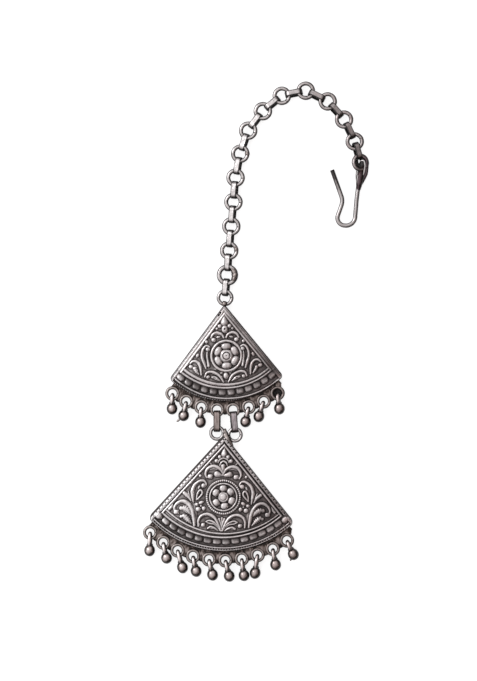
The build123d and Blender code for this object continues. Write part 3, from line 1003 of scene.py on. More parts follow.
@dataclass
class FanPendant:
    """A fan-shaped pendant: chased top, walls, solder skirt and wire eyelets."""

    name: str
    place: Point            # of its rosette
    turn: float             # degrees
    apex: float             # the sides' meeting point above the rosette
    axis: float             # the outline's axis, sideways from the rosette
    half_angle: float       # of the sides, in degrees
    radius: float           # of the round edge
    drop: float             # from the apex to the round edge's centre
    apex_round: float
    corner_round: float
    mirror: float           # the ornament's own middle line
    side_ridge: Band
    arc_ridges: tuple[Band, ...]        # inside the border, after the closed ridge
    closed_inset: float     # of the closed ridge, in from the round edge
    rim_bands: tuple[Band, ...]         # outside the bead row
    strip: tuple[float, float, float]   # side strip: middle, width, height
    strip_pitch: float      # of the notches along it, none at 0
    bead_inset: float
    bead: Point             # half sizes, along the row and across it
    bead_count: int
    bead_step: float        # degrees
    eyelet_radius: float    # from the round edge's centre to the eyelets' centres
    eyelet_count: int
    eyelet_step: float      # degrees
    eyelet_middle: float    # degrees from the axis to the middle of the eyelets
    spacing: float          # of the relief's points
    forms: tuple[Stroke | Dome | Cut, ...]      # of the left half and the middle
    rosette: Rosette
    loops: tuple[tuple[Point, float, float, float], ...]    # place, mid radius, wire, height
    tip_solder: tuple[tuple[float, float, float, float], ...]      # x, y, z and radius
    dents: tuple[Cut, ...] = ()
    bead_middle: float = 0.0    # degrees from the axis to the bead row's middle
    border_shift: float = 0.0   # of the side borders towards the right, by hand work
    corner_beads: tuple[Dome, ...] = ()
    worn_channel: float = 0.0   # how much the left side's channel is rubbed
    strip_line: float = 0.0     # depth of a line scored along the side strip
    notch: float = 0.60         # how deep the strip's notches are, of its height
    polish: Polish = Polish()
    plate: float = 0.95     # height of the back plate
    field: float = 2.30     # height of the chased top's edge
    ground: float = -0.14   # height of the ornament's ground, from the field
    ground_waver: Waver = Waver(0.035, 0.8, 5)
    crest_waver: Waver = Waver(0.018, 0.45, 9)
    channel: float = -0.22  # floor of the bead row
    inner_channel: float = -0.30        # floor between the two ridges inside it
    bead_height: float = 0.62
    bevel: float = 0.34
    lip: tuple[float, float] = (-0.40, 0.75)    # the bevel's foot, from the field, and its rise
    soften: int = 24        # rounds of smoothing that tell a crest from its surroundings
    skirt: float = 1.05
    skirt_in: float = 1.5   # how far it stops inside the straight sides
    skirt_depth: float = 2.2            # from its edge to under the fan
    skirt_rise: float = 1.15            # how much thicker than its section it is laid
    skirt_turns: int = 760              # sections along it
    skirt_end: float = 0.75             # how much narrower it is at its ends
    ripple: Waver = Waver(0.08, 0.8, 23)        # of its edge
    lumps: tuple[Waver, Waver] = (Waver(1.0, 0.55, 21), Waver(0.6, 0.21, 22))
    filled_level: float = 0.70          # height of the dark fill in the chosen eyelet
    web: float = 0.90       # how far the solder runs past the eyelets' centres between them
    web_end: float = -0.55  # and outside the outermost ones
    web_slope: float = 0.30     # mm over which it widens from a hole's edge
    filled: int = 0         # the eyelet whose hole the solder fills flush and which is painted darkest, none at 0
    eyelet_mid: float = 1.43
    eyelet_wire: float = 0.40
    eyelet_height: float = 1.25

    def to_frame(self, points: np.ndarray) -> np.ndarray:
        """Turn and move points from the fan's plane to the jewel's.

        Args:
            points: Places of two or three numbers, one row each.

        Returns:
            The moved places.
        """
        spin = math.radians(self.turn)
        c, s = math.cos(spin), math.sin(spin)
        moved = np.array(points, float)
        x, y = moved[:, 0].copy(), moved[:, 1].copy()
        moved[:, 0] = x * c - y * s + self.place[0]
        moved[:, 1] = x * s + y * c + self.place[1]
        return moved

    def on_arc(self, radius: float, angle: float) -> Point:
        """A point about the round edge's centre.

        Args:
            radius: Its distance.
            angle: Degrees from the fan's axis, to the right.

        Returns:
            The point.
        """
        turn = math.radians(angle)
        return (self.axis + radius * math.sin(turn),
                self.apex - self.drop - radius * math.cos(turn))

    def eyelet(self, number: int) -> Point:
        """Centre of an eyelet.

        Args:
            number: Counted from 1 at the left.

        Returns:
            The point.
        """
        middle = (self.eyelet_count + 1) / 2
        return self.on_arc(self.eyelet_radius,
                           self.eyelet_middle + (number - middle) * self.eyelet_step)

    def side_reach(self, inset: float, radius: float) -> float:
        """Distance from the apex along a side to where a line inside it meets a circle.

        Args:
            inset: Of the line, from the side.
            radius: Of the circle about the round edge's centre.

        Returns:
            The distance.
        """
        half = math.radians(self.half_angle)
        rest = inset ** 2 + self.drop ** 2 - 2 * self.drop * inset * math.sin(half) - radius ** 2
        lead = self.drop * math.cos(half)
        return lead + math.sqrt(lead ** 2 - rest)

    def corner_centre(self, tip: np.ndarray) -> np.ndarray:
        """Centre of the right corner's rounding.

        Args:
            tip: The point in which the sides would meet.

        Returns:
            The point.
        """
        half = math.radians(self.half_angle)
        reach = self.side_reach(self.corner_round, self.radius - self.corner_round)
        down = np.array([math.sin(half), -math.cos(half)])
        inward = np.array([-math.cos(half), -math.sin(half)])
        return tip + down * reach + inward * self.corner_round

    def outline(self) -> np.ndarray:
        """The fan's outline.

        Returns:
            Evenly spaced points, one row each.
        """
        tip = np.array([self.axis, self.apex])
        centre = tip - (0, self.drop)
        top = tip - (0, self.apex_round / math.sin(math.radians(self.half_angle)))
        corner = self.corner_centre(tip)
        out = corner - centre
        last = math.degrees(math.atan2(out[1], out[0]))
        right = np.array([
            *arc_points(top, self.apex_round, np.linspace(90, self.half_angle, 8)),
            *arc_points(corner, self.corner_round, np.linspace(self.half_angle, last, 12)),
            *arc_points(centre, self.radius, np.linspace(last, -90, 90)[1:])])
        left = right[-2:0:-1] * (-1, 1) + (2 * self.axis, 0)
        closed = np.vstack([right, left, right[:1]])
        length = np.concatenate([[0], np.cumsum(np.hypot(*np.diff(closed, axis=0).T))])
        even = np.linspace(0, length[-1], int(length[-1] / (self.spacing * 1.25)), endpoint=False)
        ring = np.column_stack([np.interp(even, length, closed[:, k]) for k in (0, 1)])
        return ring[::-1]

    def insets(self, points: np.ndarray) -> tuple[np.ndarray, np.ndarray, np.ndarray]:
        """How far in from the nearer side, how far along it, and how far in from the arc.

        Args:
            points: Places in the fan's plane.

        Returns:
            Inset from the side, distance down it from the apex, inset from the arc.
        """
        half = math.radians(self.half_angle)
        x, y = points[:, 0] - self.axis, points[:, 1] - self.apex
        side = -np.abs(x) * math.cos(half) - y * math.sin(half)
        down = np.abs(x) * math.sin(half) - y * math.cos(half)
        return side, down, self.radius - np.hypot(x, y + self.drop)

    def surface(self, points: np.ndarray, edge: np.ndarray) -> np.ndarray:
        """Height of the chased top.

        Args:
            points: Places in the fan's plane.
            edge: Distance of each from the outline.

        Returns:
            Heights over the back.
        """
        # the ground: deeper in the bead row and between the ridges inside it
        side, down, _ = self.insets(points - (self.border_shift, 0))
        arc = self.insets(points)[2]
        middle, width, height = self.strip
        loop = np.minimum(side - self.side_ridge.inset, arc - self.closed_inset)
        rim = (loop < 0) & (arc < self.closed_inset) & (side > middle + width * 0.5)
        ground = np.where(rim, self.channel, self.ground)
        between = (loop > 0) & (arc < self.arc_ridges[0].inset)
        ground = np.where(between, self.inner_channel, ground)
        ground = ground + self.ground_waver.over(points)

        # the ornament, then the closed ridge round it and the ridges along the arc
        relief = Relief(points, ground, self.mirror)
        everywhere = np.arange(len(points))
        for form in self.forms:
            relief.raise_form(form)
        self.rosette.raise_on(relief)
        self.raise_band(relief, np.abs(loop), self.side_ridge, down, everywhere)
        sweep = np.degrees(np.arctan2(points[:, 0] - self.axis,
                                      self.apex - self.drop - points[:, 1]))
        for band in self.arc_ridges:
            self.raise_band(relief, np.abs(arc - band.inset + band.lean * sweep), band, down,
                            np.nonzero(side > self.side_ridge.inset)[0])
        for band in self.rim_bands:
            self.raise_band(relief, np.abs(arc - band.inset + band.lean * sweep), band,
                            np.radians(sweep) * (self.radius - band.inset), np.nonzero(rim)[0])
        self.raise_beads(relief)

        # the strip along the sides, with its notches and its scored line
        flat_top = np.clip(1 - (np.abs(side - middle) / (width / 2)) ** 4, 0, 1)
        if self.strip_pitch:
            share = np.abs((down / self.strip_pitch) % 1 - 0.5) * 2
            notch = smoothstep(0.55, 0.95, share)
            notch = notch * smoothstep(middle + 0.18, middle - 0.12, side)
            notch *= smoothstep(1.0, 2.2, arc)
            flat_top = flat_top * (1 - self.notch * notch)
        relief.lift(everywhere, (height - relief.ground) * flat_top)
        relief.height -= self.strip_line * np.clip(1 - ((side - middle + 0.24) / 0.10) ** 2, 0, 1)
        for bead in self.corner_beads:
            relief.dome(bead)
        for dent in self.dents:
            relief.cut(dent)

        # the bevel round the outline
        crest = relief.height + self.crest_waver.over(points)
        foot, rise = self.lip
        height = np.minimum(crest, foot + rise * smoothstep(0.0, self.bevel, edge))
        height = np.where(edge > self.bevel, crest, height)
        return self.field + height

    def wear_and_shade(self, points: np.ndarray, edge: np.ndarray, faces: np.ndarray) -> np.ndarray:
        """How far each place of the top is polished bright, less painted shade.

        The polishing reaches crests and skips creases, so a place's height over its
        neighbourhood decides. The right side is painted darker as shade, the light falling from the
        left, and the bead row's inner side darker as the ridge's painted shadow.

        Args:
            points: The top's points with their heights.
            edge: Distance of each from the outline.
            faces: Corner numbers of the top's triangles.

        Returns:
            Wear from 0 to 1, less painted shade.
        """
        # heights averaged with their neighbours', a few rounds for creases and more for crests
        pairs = np.vstack([faces[:, (0, 1)], faces[:, (1, 2)], faces[:, (2, 0)]])
        count = np.bincount(pairs.ravel(), minlength=len(points)).astype(float)
        fine = soft = points[:, 2]
        for turn in range(self.soften):
            total = np.bincount(pairs[:, 0], soft[pairs[:, 1]], len(points))
            total += np.bincount(pairs[:, 1], soft[pairs[:, 0]], len(points))
            soft = 0.35 * soft + 0.65 * total / count
            if turn == self.soften // 4:
                fine = soft
        polish, x = self.polish, points[:, 0]
        level = (points[:, 2] - self.field - self.ground) / polish.full_height
        rubbed_and_shaded = (polish.base + polish.crest * (points[:, 2] - soft)
                  + polish.crease * (points[:, 2] - fine) + polish.level * level)
        rubbed_and_shaded += polish.mottle.over(points[:, :2])

        # the round border, its bead row with the ridge's painted shadow on the row's inner side, and
        # the right side painted darker as shade
        side, _, arc = self.insets(points[:, :2])
        strip, ridge, closed = self.strip[0], self.side_ridge.inset, self.closed_inset
        in_rim = smoothstep(closed + 0.4, closed - 0.3, arc)
        rubbed_and_shaded += polish.rim * in_rim
        in_row = smoothstep(closed - 0.15, closed - 0.4, arc)
        in_row = in_row * smoothstep(self.bead_inset - 1.05, self.bead_inset - 0.85, arc)
        inner = smoothstep(self.bead_inset - 0.2, self.bead_inset + 0.6, arc)
        rubbed_and_shaded += in_row * (polish.row_inner * inner + polish.row
                            + polish.row_left * smoothstep(-0.42, -0.60, x / self.radius))
        rightward = np.clip(x / self.radius / 0.6, -1, 1)
        rubbed_and_shaded += (polish.right + (polish.right_rim - polish.right) * in_rim) * rightward
        rubbed_and_shaded += polish.right_strip * (smoothstep(strip + 0.5, strip + 0.3, side)
                                        * smoothstep(-1.0, 3.0, x))

        # the channels on the left, which the cloth got into, and the corner beads
        channel = smoothstep(strip + 0.10, strip + 0.30, side)
        channel = channel * smoothstep(ridge, ridge - 0.25, side) * smoothstep(1.0, -2.0, x)
        arc_ridge = self.arc_ridges[0].inset
        arc_channel = smoothstep(closed + 0.06, closed + 0.26, arc)
        arc_channel = arc_channel * smoothstep(arc_ridge - 0.02, arc_ridge - 0.22, arc)
        arc_channel = arc_channel * smoothstep(ridge, ridge + 0.3, side)
        arc_channel = arc_channel * smoothstep(4.0, -3.0, x)
        rubbed_and_shaded += self.worn_channel * (channel + polish.arc_share * arc_channel)
        for bead in self.corner_beads:
            away = np.hypot(*(points[:, :2] - np.array(bead.place)).T) / bead.size[0]
            rubbed_and_shaded += polish.corner_bead * smoothstep(1.1, 0.6, away)

        # the bevel stays dark
        walls = np.minimum(smoothstep(0.06, 0.44, side), smoothstep(-0.20, 0.06, edge))
        return np.clip(rubbed_and_shaded, 0, 1) * walls

    def raise_band(self, relief: Relief, away: np.ndarray, band: Band, along: np.ndarray,
                   index: np.ndarray) -> None:
        """Raise a border ridge on the points it may reach.

        Args:
            relief: The fan's relief.
            away: Distance of each point from the ridge's crest.
            band: The ridge.
            along: How far along it each point is.
            index: Numbers of the points.
        """
        rise = np.clip(1 - (away[index] / (band.width / 2)) ** 2, 0, 1) ** FULL_TOP
        if band.pitch:
            rise *= 0.60 + 0.40 * np.cos(along[index] / band.pitch * 2 * math.pi)
        relief.lift(index, rise * (band.height - relief.ground[index]))

    def raise_beads(self, relief: Relief) -> None:
        """Raise the row of beads inside the round edge.

        Args:
            relief: The fan's relief.
        """
        for number in range(self.bead_count):
            angle = self.bead_middle + (number - (self.bead_count - 1) / 2) * self.bead_step
            place = self.on_arc(self.radius - self.bead_inset, angle)
            relief.dome(Dome(place, self.bead, self.bead_height, angle, False, 2.8, 0.50))

    def chased_body(self, material: Material) -> Piece:
        """The fan's body: its chased top, its walls and its flat back.

        Args:
            material: The fan's finish.

        Returns:
            A closed mesh in the jewel's frame.
        """
        # the top: a triangular grid of points inside the outline, joined to it
        rim = self.outline()
        step = self.spacing
        low, high = rim.min(0), rim.max(0)
        rows = []
        for k, y in enumerate(np.arange(low[1], high[1], step * math.sqrt(3) / 2)):
            x = np.arange(low[0] + (step / 2 if k % 2 else 0), high[0], step)
            rows.append(np.column_stack([x, np.full_like(x, y)]))
        grid = np.vstack(rows)
        side, _, arc = self.insets(grid)
        grid = grid[(side > step * 0.5) & (arc > step * 0.5)]
        away, inside = self.rim_distance(grid, rim)
        grid = grid[inside & (away > step * 0.55)]
        count = len(rim)
        joined = np.vstack([rim, grid])
        edges = [(k, (k + 1) % count) for k in range(count)]
        flat, _, faces, origin, _, _ = delaunay_2d_cdt(
            [Vector(p) for p in joined], edges, [], 1, 1e-7)
        flat = np.array([tuple(p) for p in flat])
        made = {old: new for new, olds in enumerate(origin) for old in olds}
        loop = [made[k] for k in range(count)]
        edge, _ = self.rim_distance(flat, rim)
        edge[loop] = 0.0
        points = np.column_stack([flat, self.surface(flat, edge)])
        wear_and_shade = self.wear_and_shade(points, edge, np.array(faces))
        faces = [list(face) for face in faces]

        # the walls, in two bands, and the flat back
        wall = [loop]
        for level in (self.plate, 0.0):
            start = len(points)
            points = np.vstack([points, np.column_stack([flat[loop], np.full(count, level)])])
            wear_and_shade = np.concatenate([wear_and_shade, np.zeros(count)])
            wall.append(list(range(start, start + count)))
        for upper, lower in zip(wall, wall[1:]):
            faces += [[lower[k], lower[(k + 1) % count], upper[(k + 1) % count], upper[k]]
                      for k in range(count)]
        _, _, back, origin, _, _ = delaunay_2d_cdt([Vector(p) for p in rim], edges, [], 1, 1e-7)
        faces += [[wall[-1][origin[k][0]] for k in reversed(face)] for face in back]
        return mesh_piece(f"{self.name}_body", self.to_frame(points), faces, material, wear_and_shade)

    def rim_distance(self, points: np.ndarray, rim: np.ndarray) -> tuple[np.ndarray, np.ndarray]:
        """Distance from the outline, and whether a point is inside it.

        Args:
            points: Places in the fan's plane.
            rim: The outline's points.

        Returns:
            Distances, and True for the points inside.
        """
        side, _, arc = self.insets(points)
        away = np.minimum(side, arc)
        # the rounded apex
        half = math.radians(self.half_angle)
        tip = np.array([self.axis, self.apex - self.apex_round / math.sin(half)])
        above = points[:, 1] - tip[1]
        gap = self.apex_round - np.hypot(*(points - tip).T)
        beyond = (above > 0) & (np.abs(points[:, 0] - self.axis) < above / math.tan(half))
        away = np.where(beyond, np.minimum(away, gap), away)
        # the rounded corners, worked out on the right for both
        corner = self.corner_centre(np.array([0, self.apex]))
        x = np.abs(points[:, 0] - self.axis)
        local = np.column_stack([x, points[:, 1]]) - corner
        out = corner - (0, self.apex - self.drop)
        first = math.atan2(out[1], out[0])
        bearing = np.arctan2(local[:, 1], local[:, 0])
        in_corner = (bearing > first) & (bearing < half)
        away = np.where(in_corner, np.minimum(away, self.corner_round - np.hypot(*local.T)), away)
        return away, away > 0

    def skirt_piece(self, material: Material) -> Piece:
        """The uneven solder skirt along the round edge, which the eyelets sit in.

        Args:
            material: The fan's finish.

        Returns:
            A closed band in the jewel's frame.
        """
        outer = self.radius + self.skirt
        inner = outer - self.skirt_depth
        half = math.radians(self.half_angle)
        reach = self.half_angle + math.degrees(
            math.asin((self.drop * math.sin(half) - self.skirt_in) / outer))
        turns = np.linspace(-reach, reach, self.skirt_turns)
        # share of the way out, and height in mm, from the underside round and over the top
        section = [(0.0, 0.0), (0.99, 0.0), (1.0, 0.30), (0.99, 0.64), (0.95, 0.90), (0.88, 1.06),
                   (0.78, 1.16), (0.66, 1.22), (0.54, 1.25), (0.40, 1.24), (0.25, 1.18),
                   (0.0, 0.9)]
        points, wear_and_shade = [], []
        for turn in turns:
            end = smoothstep(0, 2.5, np.array([reach - abs(turn)]))[0]
            along = turn * 0.45
            ripple = self.ripple.over(np.array([[along, 0.0]]))[0]
            edge = self.web_edge(turn) + ripple - (1 - end) * self.skirt_end
            for share, height in section:
                radius = inner + (edge - inner) * share
                here = np.array([[along, radius - outer]])
                lump = sum(waver.over(here)[0] for waver in self.lumps)
                level, rubbed_and_shaded = height, 0.0
                if height > 0.2:
                    level = self.skirt_rise * height + 0.07 * lump * (1 if height > 0.7 else 0.3)
                    # painted shadow of the fan's rim on the solder next to it; the solder's outer
                    # edge is darker too
                    shadow = smoothstep(self.radius + 1.1, self.radius + 0.1, np.array([radius]))
                    rubbed_and_shaded = 0.74 + 0.32 * lump - 0.45 * share ** 6 - 0.34 * shadow[0]
                x, y = self.on_arc(radius, turn)
                # the chosen eyelet's hole is filled flush with solder painted darkest
                if self.filled and math.dist((x, y), self.eyelet(self.filled)) < self.eyelet_mid:
                    level, rubbed_and_shaded = min(level, self.filled_level), 0.0
                points.append((x, y, level))
                wear_and_shade.append(rubbed_and_shaded)
        count, sides = len(turns), len(section)
        faces = [[(k + 1) * sides + i, (k + 1) * sides + (i + 1) % sides,
                  k * sides + (i + 1) % sides, k * sides + i]
                 for k in range(count - 1) for i in range(sides)]
        faces.append(list(range(sides)))
        faces.append([(count - 1) * sides + i for i in reversed(range(sides))])
        return mesh_piece(f"{self.name}_skirt", self.to_frame(np.array(points)), faces, material,
                          np.clip(wear_and_shade, 0, 1))

    def web_edge(self, turn: float) -> float:
        """Radius of the solder's edge: round each eyelet's hole and down between the eyelets.

        Args:
            turn: Degrees from the fan's axis.

        Returns:
            Distance from the arc's centre.
        """
        middle = (self.eyelet_count - 1) / 2
        number = round((turn - self.eyelet_middle) / self.eyelet_step + middle)
        number = min(max(number, 0), self.eyelet_count - 1)
        off = turn - self.eyelet_middle - (number - middle) * self.eyelet_step
        aside = abs(math.radians(off)) * self.eyelet_radius
        hole = self.eyelet_mid - 0.12
        if aside < hole:
            chord = math.sqrt(hole ** 2 - aside ** 2)
            if number + 1 == self.filled:
                return self.eyelet_radius + chord
            return max(self.radius + 0.8, self.eyelet_radius - chord)
        beyond = (number in (0, self.eyelet_count - 1)) and (off > 0) == (number > 0)
        reach = self.web_end if beyond else self.web
        return self.eyelet_radius + reach * min((aside - hole) / self.web_slope, 1.0)

    def at(self, point: Point, height: float) -> Vector:
        """A place of the fan in the jewel's frame."""
        x, y = self.to_frame(np.array([point]))[0]
        return Vector((x, y, height))

    def wire_pieces(self, shop: Workshop) -> list[Piece]:
        """The eyelets, the loops that carry the fan, and the solder at the tip.

        Args:
            shop: The finishes and makers.

        Returns:
            The pieces.
        """
        solder = shop.finish[Finish.EYELET]
        spots = [Spot(self.at(self.eyelet(k + 1), self.eyelet_height), FLAT)
                 for k in range(self.eyelet_count)]
        made = [shop.rings.make(
            f"{self.name}_eyelets", spots_mesh("eyelets", spots), Mid_Radius=self.eyelet_mid,
            Wire_Radius=self.eyelet_wire, Unevenness=0.12, Seed=3, Material=solder)]
        for number, (place, mid, wire, height) in enumerate(self.loops, 1):
            spot = Spot(self.at(place, height), FLAT)
            made.append(shop.rings.make(
                f"{self.name}_loop_{number}", spots_mesh("loop", [spot]), Mid_Radius=mid,
                Wire_Radius=wire, Unevenness=0.10, Seed=number,
                Material=shop.finish[Finish.CHAIN]))
        run = [(*self.at((x, y), z), 1.0, girth) for x, y, z, girth in self.tip_solder]
        made.append(shop.wires.make(
            f"{self.name}_tip_solder", wire_guide(run), Wire_Radius=1.0, Unevenness=0.30,
            Seed=5, Material=solder))
        return made

    def build(self, shop: Workshop) -> None:
        """Make all the fan's pieces and put them in the frame.

        Args:
            shop: The finishes and makers.
        """
        place_piece(self.chased_body(shop.finish[Finish.FAN]), [self.name])
        place_piece(self.skirt_piece(shop.finish[Finish.SOLDER]), [self.name])
        for piece in self.wire_pieces(shop):
            place_piece(piece, [self.name])


def upper_fan() -> FanPendant:
    """The small fan with its own ornament.

    Returns:
        The fan.
    """
    forms = (
        Stroke(((-0.42, 9.9), (-0.42, 9.0), (-0.42, 8.3)), (0.2, 1.0, 1.5), 0.74, twin=False),
        Dome((-0.38, 6.55), (0.72, 0.88), 0.70, twin=False),
        Cut(((-0.38, 6.62), (-0.38, 6.60)), 0.52, 0.40, False),
        Dome((-1.62, 7.35), (0.50, 0.48), 0.60),
        Dome((-2.35, 6.75), (0.34, 0.30), 0.38),
        Stroke(((-0.72, 4.45), (-1.15, 5.25), (-2.35, 5.72), (-3.4, 5.3), (-3.85, 4.5)),
               (0.45, 0.62, 0.66, 0.6, 0.45)),
        Dome((-3.25, 3.95), (0.56, 0.52), 0.66),
        Dome((-2.0, 4.65), (0.52, 0.28), 0.36, 12),
        Dome((-5.0, 3.5), (0.42, 0.40), 0.56),
        Stroke(((-5.35, -3.1), (-5.75, -1.8), (-6.2, -0.4), (-6.2, 0.9), (-5.75, 2.0),
                (-5.0, 2.55), (-4.35, 2.25)), (0.45, 0.62, 0.68, 0.6, 0.55, 0.45)),
        Dome((-4.75, 1.62), (0.52, 0.50), 0.66),
        Stroke(((-4.95, 0.95), (-5.0, 0.0), (-4.85, -1.2), (-4.65, -2.5)), (0.3, 0.45, 0.5, 0.66)),
        Stroke(((-6.55, -4.7), (-6.65, -3.2), (-7.0, -2.0), (-7.7, -1.32), (-8.55, -1.25),
                (-9.2, -1.8)), (0.42, 0.6, 0.66, 0.62, 0.4)),
        Dome((-9.05, -2.62), (0.56, 0.46), 0.62, -10),
        Stroke(((-8.1, -3.1), (-7.8, -3.7), (-7.2, -4.5)), (0.85, 0.75, 0.35), 0.6, 4),
        Dome((-7.35, 0.15), (0.36, 0.52), 0.40, -28),
        Stroke(((-1.0, -6.6), (-1.85, -5.2), (-2.95, -4.35), (-4.2, -4.0), (-5.2, -4.25),
                (-5.65, -5.2)), (0.4, 0.62, 0.64, 0.6, 0.42)),
        Stroke(((-3.75, -5.35), (-3.0, -5.55), (-1.9, -6.3)), (0.55, 0.75, 0.3), 0.55),
        Cut(((-3.45, -5.5), (-3.0, -5.62)), 0.26, 0.3),
        Dome((-4.85, -5.25), (0.48, 0.42), 0.5, 20),
        Dome((-0.40, -5.05), (0.58, 0.74), 0.66, twin=False),
        Dome((-1.45, -4.35), (0.4, 0.24), 0.25, 20),
        Dome((-9.0, -0.35), (0.5, 0.2), 0.18, 50),
        Dome((-2.9, -3.45), (0.35, 0.2), 0.2, -30),
    )
    rosette = Rosette((-0.14, -0.10), ((3.74, 0.92, 0.66, 0),),
                      tuple((90 + 60 * k, 2.40) for k in range(6)), (1.34, 0.92), 1.74, 0.90,
                      0.30, 0.17)
    return FanPendant(
        name="upper_fan", place=(0.75, 35.4), turn=1.5, apex=12.8, axis=-0.30, half_angle=38.0,
        radius=20.3, drop=3.9, apex_round=0.7, corner_round=1.1, mirror=-0.40,
        side_ridge=Band(1.47, 0.78, 0.36), arc_ridges=(Band(4.10, 0.88, 0.34, lean=0.004),),
        closed_inset=3.28, rim_bands=(Band(0.66, 0.64, 0.38, lean=0.009),
                                      Band(0.12, 0.42, 0.24, 0.60)),
        strip=(0.74, 1.04, 0.38), strip_pitch=0.0, bead_inset=2.22, bead=(1.04, 0.90),
        border_shift=-0.06, worn_channel=0.40, web=1.10, filled=8, bead_count=12,
        bead_step=7.05, eyelet_radius=22.55, eyelet_count=8, eyelet_step=10.15,
        eyelet_middle=-1.35, spacing=0.082, forms=forms, rosette=rosette,
        loops=(((-0.10, 14.40), 1.66, 0.45, 1.24),),
        tip_solder=((-0.95, 12.85, 1.30, 0.35), (-0.25, 12.95, 1.40, 0.72),
                    (0.45, 12.75, 1.30, 0.35)),
        dents=(Cut(((-1.30, 10.72), (-1.38, 10.60)), 0.46, 0.8, False),
               Cut(((-1.72, 10.16), (-1.80, 10.04)), 0.52, 0.8, False)), strip_line=0.22)


